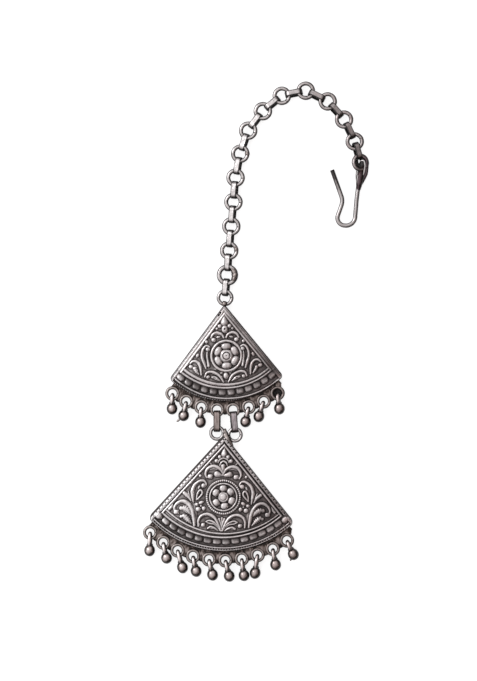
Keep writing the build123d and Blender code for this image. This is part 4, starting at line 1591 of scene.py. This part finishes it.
def lower_fan() -> FanPendant:
    """The large fan with its own ornament.

    Returns:
        The fan.
    """
    forms = (
        Stroke(((-0.25, 12.3), (-0.3, 11.5), (-0.32, 10.8)), (0.2, 0.85, 1.25), 0.74, twin=False),
        Dome((-1.40, 10.05), (0.44, 0.46), 0.62),
        Dome((-2.18, 9.05), (0.48, 0.46), 0.62),
        Stroke(((-1.75, 8.6), (-1.35, 9.35), (-0.38, 9.75), (0.6, 9.35), (1.0, 8.6)),
               (0.25, 0.34, 0.38, 0.34, 0.25), 0.5, twin=False),
        Stroke(((-1.3, 7.9), (-1.0, 8.6), (-0.36, 8.98), (0.3, 8.6), (0.6, 7.9)),
               (0.3, 0.42, 0.46, 0.42, 0.3), 0.6, twin=False),
        Stroke(((-0.30, 5.8), (-0.42, 6.8), (-0.50, 7.75)), (0.25, 0.6, 0.95), 0.7, twin=False),
        Stroke(((-0.28, 5.55), (-0.95, 6.8), (-1.85, 7.45), (-2.85, 7.65), (-3.9, 7.3),
                (-4.6, 6.5), (-4.78, 5.5), (-4.4, 4.75)), (0.3, 0.6, 0.74, 0.78, 0.72, 0.6, 0.4)),
        Stroke(((-1.9, 6.85), (-2.8, 7.0), (-3.7, 6.75)), (0.2, 0.3, 0.2), 0.35),
        Stroke(((-1.95, 5.72), (-1.2, 5.55), (-0.35, 5.38)), (1.15, 0.8, 0.3), 0.6),
        Dome((-3.60, 5.08), (0.60, 0.56), 0.70, 0, power=2.8),
        Dome((-6.10, 5.18), (0.36, 0.36), 0.52),
        Dome((-3.62, 8.35), (0.42, 0.18), 0.28, -40),
        Stroke(((-7.6, -1.5), (-7.85, 0.2), (-7.92, 1.5), (-7.35, 2.9), (-6.2, 3.85),
                (-5.2, 3.98), (-4.6, 3.45), (-4.55, 2.9)), (0.3, 0.7, 0.8, 0.72, 0.62, 0.55, 0.4)),
        Dome((-5.2, 2.75), (0.56, 0.54), 0.68),
        Dome((-6.3, 2.3), (0.24, 0.5), 0.3, -25),
        Stroke(((-6.85, -0.85), (-6.75, 0.3), (-6.4, 1.2), (-5.95, 1.6), (-5.5, 1.25),
                (-5.55, 0.55), (-6.1, -0.15), (-6.8, -0.85)), (0.34, 0.44, 0.5, 0.44, 0.34), 0.62),
        Cut(((-6.35, 0.2), (-6.0, 1.0)), 0.26, 0.28),
        Dome((-5.62, -1.5), (0.62, 0.42), 0.6, 28),
        Dome((-6.75, -2.0), (0.44, 0.42), 0.55),
        Dome((-6.35, -3.2), (0.60, 0.56), 0.66),
        Dome((-4.95, -2.95), (0.48, 0.52), 0.62),
        Dome((-5.65, -2.35), (0.24, 0.24), 0.35),
        Stroke(((-9.9, 0.75), (-9.4, 0.35), (-8.75, -0.25), (-8.2, -1.15)),
               (0.75, 0.8, 0.6, 0.3), 0.56),
        Stroke(((-8.95, 1.2), (-8.75, 0.5), (-8.3, -0.5)), (0.2, 0.32, 0.2), 0.4),
        Stroke(((-7.15, -7.3), (-7.4, -5.4), (-7.85, -3.5), (-8.7, -2.1), (-9.7, -1.38),
                (-10.7, -1.35), (-11.7, -1.95), (-12.3, -2.9), (-12.2, -3.7)),
               (0.5, 0.78, 0.84, 0.84, 0.8, 0.74, 0.6, 0.5)),
        Stroke(((-7.0, -7.0), (-7.0, -5.0), (-7.15, -3.0), (-7.3, -1.9)),
               (0.5, 0.8, 0.7, 0.3), 0.26),
        Dome((-11.75, -4.05), (0.64, 0.54), 0.68, power=2.4),
        Stroke(((-13.5, -3.35), (-13.1, -2.9), (-12.75, -2.2)), (0.66, 0.6, 0.25), 0.55),
        Stroke(((-10.55, -3.05), (-9.8, -3.1), (-8.9, -3.55), (-8.15, -4.5)),
               (0.9, 1.30, 1.10, 0.4), 0.66, 6),
        Stroke(((-10.5, -5.15), (-9.8, -5.05), (-8.95, -5.75), (-8.0, -6.75)),
               (0.7, 1.15, 0.95, 0.35), 0.62, 6),
        Stroke(((-0.55, -8.35), (-1.25, -6.6), (-2.2, -5.15), (-3.5, -4.42), (-4.7, -4.42),
                (-5.75, -5.05), (-6.2, -6.1), (-6.15, -7.4)), (0.4, 0.62, 0.7, 0.68, 0.62, 0.45)),
        Stroke(((-0.75, -8.3), (-1.5, -7.0), (-2.5, -6.2), (-3.5, -5.92), (-4.25, -6.2)),
               (0.25, 0.4, 0.46, 0.46, 0.4), 0.58),
        Stroke(((-1.1, -7.9), (-2.2, -6.85), (-3.4, -6.62), (-4.2, -6.3)),
               (0.2, 0.34, 0.4, 0.34), 0.50),
        Stroke(((-3.75, -7.85), (-3.1, -7.55), (-2.1, -7.75), (-1.2, -8.35)),
               (0.5, 0.62, 0.5, 0.25), 0.58),
        Cut(((-3.2, -7.72), (-2.7, -7.75)), 0.22, 0.25),
        Dome((-4.95, -7.05), (0.52, 0.48), 0.64, power=2.6),
        Stroke(((-0.30, -7.9), (-0.62, -6.5), (-1.02, -5.45)), (0.2, 0.38, 0.52), 0.62),
        Stroke(((-0.32, -7.7), (-0.33, -5.2)), (0.2, 0.48), 0.56, twin=False),
        Dome((-13.9, -3.95), (0.3, 0.2), 0.2),
    )
    rosette = Rosette((-0.16, 0.03), ((4.14, 0.78, 0.58, 50), (3.38, 0.62, 0.66, 0)),
                      ((92, 2.22), (39, 2.25), (-22, 2.25), (-80, 2.22), (-141, 2.24),
                       (151, 2.20)),
                      (1.06, 0.92), 1.38, 0.88, 0.14, 0.0)
    return FanPendant(
        name="lower_fan", place=(0.0, 0.0), turn=-1.9, apex=15.6, axis=-0.50, half_angle=40.7,
        radius=25.35, drop=3.8, apex_round=0.8, corner_round=1.5, mirror=-0.36,
        side_ridge=Band(1.73, 0.76, 0.38), arc_ridges=(Band(4.44, 0.60, 0.28, lean=0.006),),
        closed_inset=3.48, rim_bands=(Band(0.90, 0.50, 0.36), Band(0.22, 0.44, 0.32),
                                      Band(0.55, 0.34, 0.20, 0.66)),
        strip=(0.76, 0.96, 0.42), strip_pitch=1.07, bead_inset=2.46, bead=(1.13, 0.82),
        border_shift=0.185, worn_channel=0.22,
        corner_beads=(Dome((-16.14, -5.12), (1.02, 0.88), 0.80, -40),
                      Dome((15.75, -5.05), (0.72, 0.50), 0.74, 45)),
        bead_middle=0.65, bead_count=16, bead_step=5.79, eyelet_radius=27.6, eyelet_count=10,
        eyelet_step=8.5, eyelet_middle=-1.4, spacing=0.092, forms=forms, rosette=rosette,
        loops=(((-2.28, 15.95), 1.55, 0.42, 1.25), ((2.22, 15.65), 1.55, 0.42, 1.25)),
        tip_solder=((-0.35, 17.05, 1.05, 0.28), (-0.25, 16.4, 1.20, 0.50),
                    (-0.10, 15.5, 1.35, 0.82), (0.45, 14.5, 1.60, 0.88),
                    (1.25, 13.5, 1.75, 0.50), (1.75, 12.85, 1.75, 0.25)))


# ---------------------------------------------------------------- drops

@dataclass
class DropRow:
    """The ball drops of one fan, each on a wire loop through an eyelet."""

    fan: FanPendant
    drops: tuple[tuple[int, float, float], ...]     # eyelet, lean in degrees, distance
    wire_end: tuple[int, float, float]              # which ball, side in degrees, length
    ball: float = 1.37
    oval: tuple[float, float] = (1.06, 1.13)    # range of the balls' stretch along their hang
    loop_mid: float = 1.04
    loop_wire: float = 0.49
    loop_straight: float = 0.12     # least straight stretch between a loop's round ends
    slack: float = 0.20             # play between a loop and its eyelet
    roll: float = 6.0               # degrees that the loops lean
    collar: float = 0.42            # radius of a solder lump before it is stretched
    collar_size: tuple[float, float, float] = (1.90, 1.65, 1.6)
    collar_place: float = 0.95      # from the ball's middle, in ball radii
    end_girth: float = 0.72         # of the stray wire end, in lump radii

    def build(self, shop: Workshop, nodes: Iterable[str]) -> None:
        """Make the balls, their loops and their collars, and put them in the frame.

        Args:
            shop: The finishes and makers.
            nodes: The frame's solids.
        """
        round_spots, loop_spots, collar_spots = [], [], []
        draw = np.random.default_rng(11)
        for number, lean, distance in self.drops:
            heading = math.radians(lean)
            down = Vector((math.sin(heading), -math.cos(heading), 0))
            eyelet = self.fan.at(self.fan.eyelet(number), 0)
            ball = eyelet + down * distance
            # the loop reaches from inside the ball to round the eyelet's lower edge
            far = (distance - self.fan.eyelet_mid + self.fan.eyelet_wire + self.loop_wire
                   + self.slack)
            near = min(self.ball - 0.05, far - 2 * self.loop_mid - self.loop_straight)
            middle = ball - down * ((near + far) / 2)
            middle.z = self.loop_mid + self.loop_wire
            turn = upright_turn(math.degrees(math.atan2(-down.x, -down.y)), self.roll)
            stretch = (far - near) / (2 * self.loop_mid + self.loop_straight)
            loop_spots.append(Spot(middle, turn, (stretch, 1, 1)))
            ball.z = self.ball
            spin = Euler((0, draw.uniform(0, 6), heading))
            round_spots.append(Spot(ball, spin, (1.0, draw.uniform(*self.oval), 1.0)))
            collar_spots.append(Spot(ball - down * (self.ball * self.collar_place),
                                     Euler((0, 0, heading)), self.collar_size))
        # the stray end of solder wire on one of the balls
        name = self.fan.name.split("_")[0]
        which, side, length = self.wire_end
        heading = math.radians(side)
        way = Vector((math.sin(heading), -math.cos(heading), 0))
        end = round_spots[which - 1].place + way * (self.ball + length / 2 - 0.35)
        collar_spots.append(Spot(end, Euler((0, 0, heading)),
                                 (self.end_girth, 1.2 + length, self.end_girth)))
        made = [
            shop.balls.make(
                f"{name}_drop_balls", spots_mesh("balls", round_spots), Radius=self.ball,
                Unevenness=0.10, Seed=2, Material=shop.finish[Finish.DROP]),
            shop.rings.make(
                f"{name}_drop_loops", spots_mesh("loops", loop_spots),
                Mid_Radius=self.loop_mid, Wire_Radius=self.loop_wire,
                Straight=self.loop_straight, Unevenness=0.10, Seed=4,
                Material=shop.finish[Finish.LOOP]),
            shop.balls.make(
                f"{name}_drop_collars", spots_mesh("collars", collar_spots),
                Radius=self.collar, Unevenness=0.20, Seed=6,
                Material=shop.finish[Finish.EYELET]),
        ]
        mine = sorted(node for node in nodes if node.startswith(f"{name}_drop"))
        for piece in made:
            place_piece(piece, mine)


# ---------------------------------------------------------------- chain and connectors

@dataclass
class Chain:
    """Fourteen round rings joined by flat links, from the upper fan to the hook."""

    first_mid: float = 2.08
    ring_mid: float = 1.81
    ring_wire: float = 0.52
    height: float = 1.24            # of the chain's middle over the floor
    last_tilt: float = 24.0         # degrees that the last ring is tilted
    # length, height, thickness of the strip and its width
    link: tuple[float, float, float, float] = (4.50, 2.32, 0.30, 1.42)
    link_roll: float = 16.0         # degrees that the links lean
    connector: tuple[float, float, float, float] = (5.40, 2.32, 0.30, 1.64)
    connector_rolls: tuple[float, float] = (-5, 6)
    # solder on the rings: which ring, degrees from the right, size
    lumps: tuple[tuple[int, float, float], ...] = (
        (0, -44, 0.50), (0, -22, 0.72), (0, 0, 0.82), (0, 23, 0.76), (0, 46, 0.56),
        (1, 34, 0.52), (1, 8, 0.56), (5, 24, 0.50), (5, 2, 0.58))
    lump_inset: tuple[float, float] = (0.22, 0.04)      # of the first ring's, of the others'

    @staticmethod
    def middle(node: str) -> Vector:
        """Middle of a solid's box, in millimetres."""
        low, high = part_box(node)
        return (low + high) / 2 / MM

    def build(self, shop: Workshop, start: Vector, nodes: Iterable[str]) -> None:
        """Make the rings, the links and the solder on some of the rings.

        Args:
            shop: The finishes and makers.
            start: Middle of the loop that the chain starts from.
            nodes: The frame's solids.
        """
        ring_names = sorted(name for name in nodes if name.startswith("chain_ring"))
        link_names = sorted(name for name in nodes if name.startswith("chain_link"))
        places = []
        for name in ring_names:
            middle = self.middle(name)
            if name == ring_names[0]:
                middle.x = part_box(name)[0].x / MM + self.first_mid + self.ring_wire
            places.append(middle)
        headings, link_spots, ring_spots = [], [], []
        for before, after, name in zip([start, *places], places, link_names):
            step = after - before
            headings.append(math.degrees(math.atan2(step.x, step.y)))
            link_spots.append(Spot(self.middle(name), upright_turn(headings[-1], self.link_roll)))
        for number, (place, heading) in enumerate(zip(places, headings)):
            last = number == len(places) - 1
            turn = upright_turn(heading, 90 + self.last_tilt if last else 90)
            grow = self.first_mid / self.ring_mid if number == 0 else 1.0
            ring_spots.append(Spot(place, turn, (grow, grow, 1.0)))
        length, height, strip, width = self.link
        piece = shop.links.make(
            "chain_links", spots_mesh("links", link_spots), Length=length, Height=height,
            Strip=strip, Width=width, Unevenness=0.10, Seed=8,
            Material=shop.finish[Finish.CHAIN])
        place_piece(piece, link_names)
        piece = shop.rings.make(
            "chain_rings", spots_mesh("rings", ring_spots), Mid_Radius=self.ring_mid,
            Wire_Radius=self.ring_wire, Unevenness=0.09, Seed=9,
            Material=shop.finish[Finish.CHAIN])
        place_piece(piece, ring_names)
        lumps = []
        for number, angle, size in self.lumps:
            turn = math.radians(angle)
            out = Vector((math.cos(turn), math.sin(turn), 0))
            first_inset, inset = self.lump_inset
            out *= self.ring_mid - inset if number else self.first_mid - first_inset
            lumps.append(Spot(places[number] + out, Euler((0, 0, turn)),
                              (size, size * 1.5, size * 1.05)))
        piece = shop.balls.make(
            "ring_solder", spots_mesh("lumps", lumps), Radius=1.0, Unevenness=0.45, Seed=12,
            Material=shop.finish[Finish.EYELET])
        place_piece(piece, sorted({ring_names[lump[0]] for lump in self.lumps}))

    def build_connectors(self, shop: Workshop, upper: FanPendant, lower: FanPendant) -> None:
        """Make the two bands between the fans.

        Args:
            shop: The finishes and makers.
            upper: The fan that they hang from.
            lower: The fan that they carry.
        """
        length, height, strip, width = self.connector
        names = ("left_connector", "right_connector")
        for name, eyelet, loop, roll, finish in zip(
                names, (4, 5), lower.loops, self.connector_rolls,
                (Finish.DULL_BAND, Finish.BRIGHT_BAND)):
            step = lower.at(loop[0], 0) - upper.at(upper.eyelet(eyelet), 0)
            heading = math.degrees(math.atan2(step.x, step.y))
            spot = Spot(self.middle(name), upright_turn(heading, roll))
            piece = shop.links.make(
                f"{name}_band", spots_mesh("band", [spot]), Length=length, Height=height,
                Strip=strip, Width=width, Unevenness=0.12, Seed=10,
                Material=shop.finish[finish])
            place_piece(piece, [name])


# ---------------------------------------------------------------- hair hook

@dataclass
class HairHook:
    """Bent wire hook with a rolled eye and a soldered, doubled shank."""

    wire: float = 0.55      # radius, and of the eye's other wires below
    outer: float = 0.44
    inner: float = 0.42
    side: float = 0.28
    back: float = 0.50
    lump: float = 0.50      # radius of the solder's run
    shank: tuple[tuple[float, float, float], ...] = (      # x, y and bend radius
        (27.0, 81.75, 0.0), (27.25, 81.05, 0.0), (29.75, 74.0, 3.5), (27.6, 67.95, 1.9),
        (32.6, 67.75, 2.3), (33.15, 74.5, 18.0), (33.60, 78.0, 6.0), (33.40, 80.2, 3.0),
        (33.60, 82.0, 0.0))
    outer_wire: tuple[Corner, ...] = (
        (34.55, 85.15, 1.05, 0.0, 0.85), (35.55, 84.6, 1.05, 0.9, 0.95),
        (35.70, 82.6, 0.95, 2.0, 1.05), (35.45, 80.7, 0.85, 2.0, 1.15),
        (34.65, 79.2, 0.75, 2.0, 1.2), (33.95, 77.5, 0.62, 0.0, 0.6))
    inner_wire: tuple[Corner, ...] = (
        (34.05, 83.95, 1.35, 0.0, 0.6), (34.95, 84.20, 1.75, 0.5, 0.7),
        (35.30, 82.9, 1.85, 1.2, 0.75), (34.95, 80.8, 1.60, 2.0, 0.75),
        (34.35, 79.85, 1.35, 0.0, 0.5))
    solder: tuple[Corner, ...] = (
        (33.55, 76.7, 0.60, 0.0, 0.90), (33.72, 77.7, 0.78, 2.0, 1.40),
        (33.82, 78.9, 0.96, 3.0, 1.80), (34.10, 80.2, 1.04, 3.0, 2.00),
        (34.45, 81.6, 1.00, 3.0, 1.90), (34.75, 82.9, 0.94, 3.0, 1.75),
        (34.55, 84.2, 0.84, 1.0, 1.30), (34.15, 85.1, 0.74, 0.0, 1.10))
    side_wire: tuple[Corner, ...] = (
        (33.24, 77.7, 0.85, 0.0, 0.8), (33.24, 78.9, 1.60, 2.0, 1.0),
        (33.40, 80.1, 1.72, 1.5, 0.9), (33.60, 80.8, 1.30, 0.0, 0.4))
    back_wire: tuple[Corner, ...] = (
        (33.55, 85.2, 0.55, 0.0, 0.8), (33.10, 84.5, 0.55, 0.6, 0.9),
        (33.10, 83.4, 0.58, 0.8, 1.0), (33.75, 82.7, 0.70, 0.8, 1.3),
        (34.40, 82.4, 0.75, 0.0, 1.3))

    def build(self, shop: Workshop) -> None:
        """Make the hook's wire, its eye and its soldered shank.

        Args:
            shop: The finishes and makers.
        """
        material, solder = Finish.HOOK, Finish.HOOK_SOLDER_AND_SHADE
        shank = [(x, y, self.wire, bend, 1.0) for x, y, bend in self.shank]
        # name, corners, radius, finish, and how dark each corner is kept: sulphide, and painted
        # shade in the eye's hollow
        runs = (("wire", shank, self.wire, material, [0.75, 0.35] + [0.0] * (len(shank) - 2)),
                ("outer_wire", self.outer_wire, self.outer, solder, None),
                ("inner_wire", self.inner_wire, self.inner, material, None),
                ("solder", self.solder, self.lump, solder,
                 [0.0, 0.0, 0.0, 0.1, 0.3, 0.4, 0.5, 0.5]),
                ("side_wire", self.side_wire, self.side, material, [0.5, 0.0, 0.1, 0.6]),
                ("back_wire", self.back_wire, self.back, solder, [0.5] * len(self.back_wire)))
        for number, (name, corners, wire, finish, dark) in enumerate(runs):
            piece = shop.wires.make(
                f"hair_hook_{name}", wire_guide(corners, dark), Wire_Radius=wire,
                Seed=14 + number, Unevenness=0.35 if name == "solder" else 0.06,
                Material=shop.finish[finish])
            place_piece(piece, ["hair_hook"])


# ---------------------------------------------------------------- studio

@dataclass
class Studio:
    """A plain pale floor, soft lights and the camera straight above."""

    middle: tuple[float, float] = (3.625, 39.125)       # mm, under the camera
    long_side: float = 170.25       # mm of the floor along the view's long side
    lens: float = 300.0
    sensor: float = 36.0
    light_from: tuple[float, float, float] = (-0.80, 0.50, 0.40)
    bright_side: float = 1.40       # strength of the room's light from the window side
    dark_side: float = 0.05         # and from the far side
    half_floor: float = 1500.0      # mm
    under: float = 0.01             # mm, how far the floor lies below the jewel's lowest point

    def floor(self) -> None:
        """Make the floor."""
        material = bpy.data.materials.new("matt_white_board")
        material.use_nodes = True
        surface = material.node_tree.nodes["Principled BSDF"]
        surface.inputs["Base Color"].default_value = linear("#a9a9aa")
        surface.inputs["Roughness"].default_value = 0.9
        surface.inputs["Emission Color"].default_value = linear("#ffffff")
        surface.inputs["Emission Strength"].default_value = 0.80
        x, y = self.middle
        half = self.half_floor
        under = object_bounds()[0][2] / MM - self.under
        corners = [(x - half, y - half, under), (x + half, y - half, under),
                   (x + half, y + half, under), (x - half, y + half, under)]
        mesh_piece("studio_floor", np.array(corners), [[0, 1, 2, 3]], material)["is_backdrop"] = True

    def light(self, name: str, place: tuple[float, float, float], size: float, power: float,
              colour: str) -> None:
        """Hang a softbox that faces the jewel.

        Args:
            name: The light's name.
            place: Millimetres from the view's middle.
            size: Side of the softbox in millimetres.
            power: Watts.
            colour: Its colour.
        """
        lamp = bpy.data.lights.new(name, "AREA")
        lamp.shape = "SQUARE"
        lamp.size = size * MM
        lamp.energy = power
        lamp.color = linear(colour)[:3]
        box = bpy.data.objects.new(name, lamp)
        aim = Vector((*self.middle, 0))
        box.location = (aim + Vector(place)) * MM
        box.rotation_euler = (-Vector(place)).to_track_quat("-Z", "Y").to_euler()
        bpy.context.scene.collection.objects.link(box)

    def camera(self) -> None:
        """Set the camera."""
        lens = bpy.data.cameras.new("view")
        lens.lens = self.lens
        lens.sensor_width = self.sensor
        lens.clip_end = 100
        distance = self.long_side * self.lens / self.sensor * MM
        camera = bpy.data.objects.new("view", lens)
        camera.location = (self.middle[0] * MM, self.middle[1] * MM, distance)
        bpy.context.scene.collection.objects.link(camera)
        bpy.context.scene.camera = camera

    def room(self) -> None:
        """Light the room from the window side."""
        world = bpy.data.worlds.new("room")
        bpy.context.scene.world = world
        world.use_nodes = True
        tree = world.node_tree
        tree.nodes.clear()
        way = add_node(tree, "ShaderNodeTexCoord").outputs["Generated"]
        toward = add_node(tree, "ShaderNodeVectorMath", {
            0: way, 1: Vector(self.light_from).normalized()}, operation="DOT_PRODUCT")
        share = add_node(tree, "ShaderNodeMapRange", {
            "Value": toward.outputs["Value"], "From Min": -1.0, "From Max": 1.0})
        glow = add_node(tree, "ShaderNodeMapRange", {
            "Value": share.outputs[0], "From Min": 0.1, "From Max": 0.95,
            "To Min": self.dark_side, "To Max": self.bright_side}, interpolation_type="SMOOTHSTEP")
        tint = add_node(tree, "ShaderNodeMix", {
            0: share.outputs[0], 6: linear("#f3e6e4"), 7: linear("#ffffff")}, data_type="RGBA")
        air = add_node(tree, "ShaderNodeBackground", {
            "Color": tint.outputs[2], "Strength": glow.outputs[0]})
        add_node(tree, "ShaderNodeOutputWorld", {"Surface": air.outputs[0]})

    def build(self) -> None:
        """Make the whole studio."""
        self.floor()
        self.light("left_softbox", (-420, 260, 420), 240, 0.9, "#ffffff")
        self.light("warm_fill", (420, -160, 300), 260, 0.12, "#f2d9cc")
        self.room()
        bpy.context.scene.view_settings.view_transform = "Standard"
        self.camera()


# ---------------------------------------------------------------- the whole jewel

def main() -> None:
    """Build the jewel's pieces in order and set the studio."""
    logging.basicConfig(level=logging.INFO, format="%(message)s")
    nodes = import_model()["nodes"]
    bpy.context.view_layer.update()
    shop = Workshop()
    upper, lower = upper_fan(), lower_fan()
    for fan in (upper, lower):
        fan.build(shop)
    DropRow(upper, ((1, -2, 3.80), (2, -11, 3.55), (3, -3, 3.73), (6, -12, 3.76),
                    (7, -18, 3.95), (8, 7, 3.88)), (2, -48, 0.95)).build(shop, nodes)
    DropRow(lower, ((1, -2, 4.45), (2, 12, 3.96), (3, 16, 4.40), (4, 12, 3.84),
                    (5, 13, 3.92), (6, 14, 4.00), (7, 8, 4.15), (8, -8, 4.50),
                    (9, 10, 4.00), (10, 25, 3.80)), (10, -24, 0.35)).build(shop, nodes)
    chain = Chain()
    chain.build(shop, upper.at(upper.loops[0][0], chain.height), nodes)
    chain.build_connectors(shop, upper, lower)
    HairHook().build(shop)
    Studio().build()


if __name__ == "__main__":
    main()
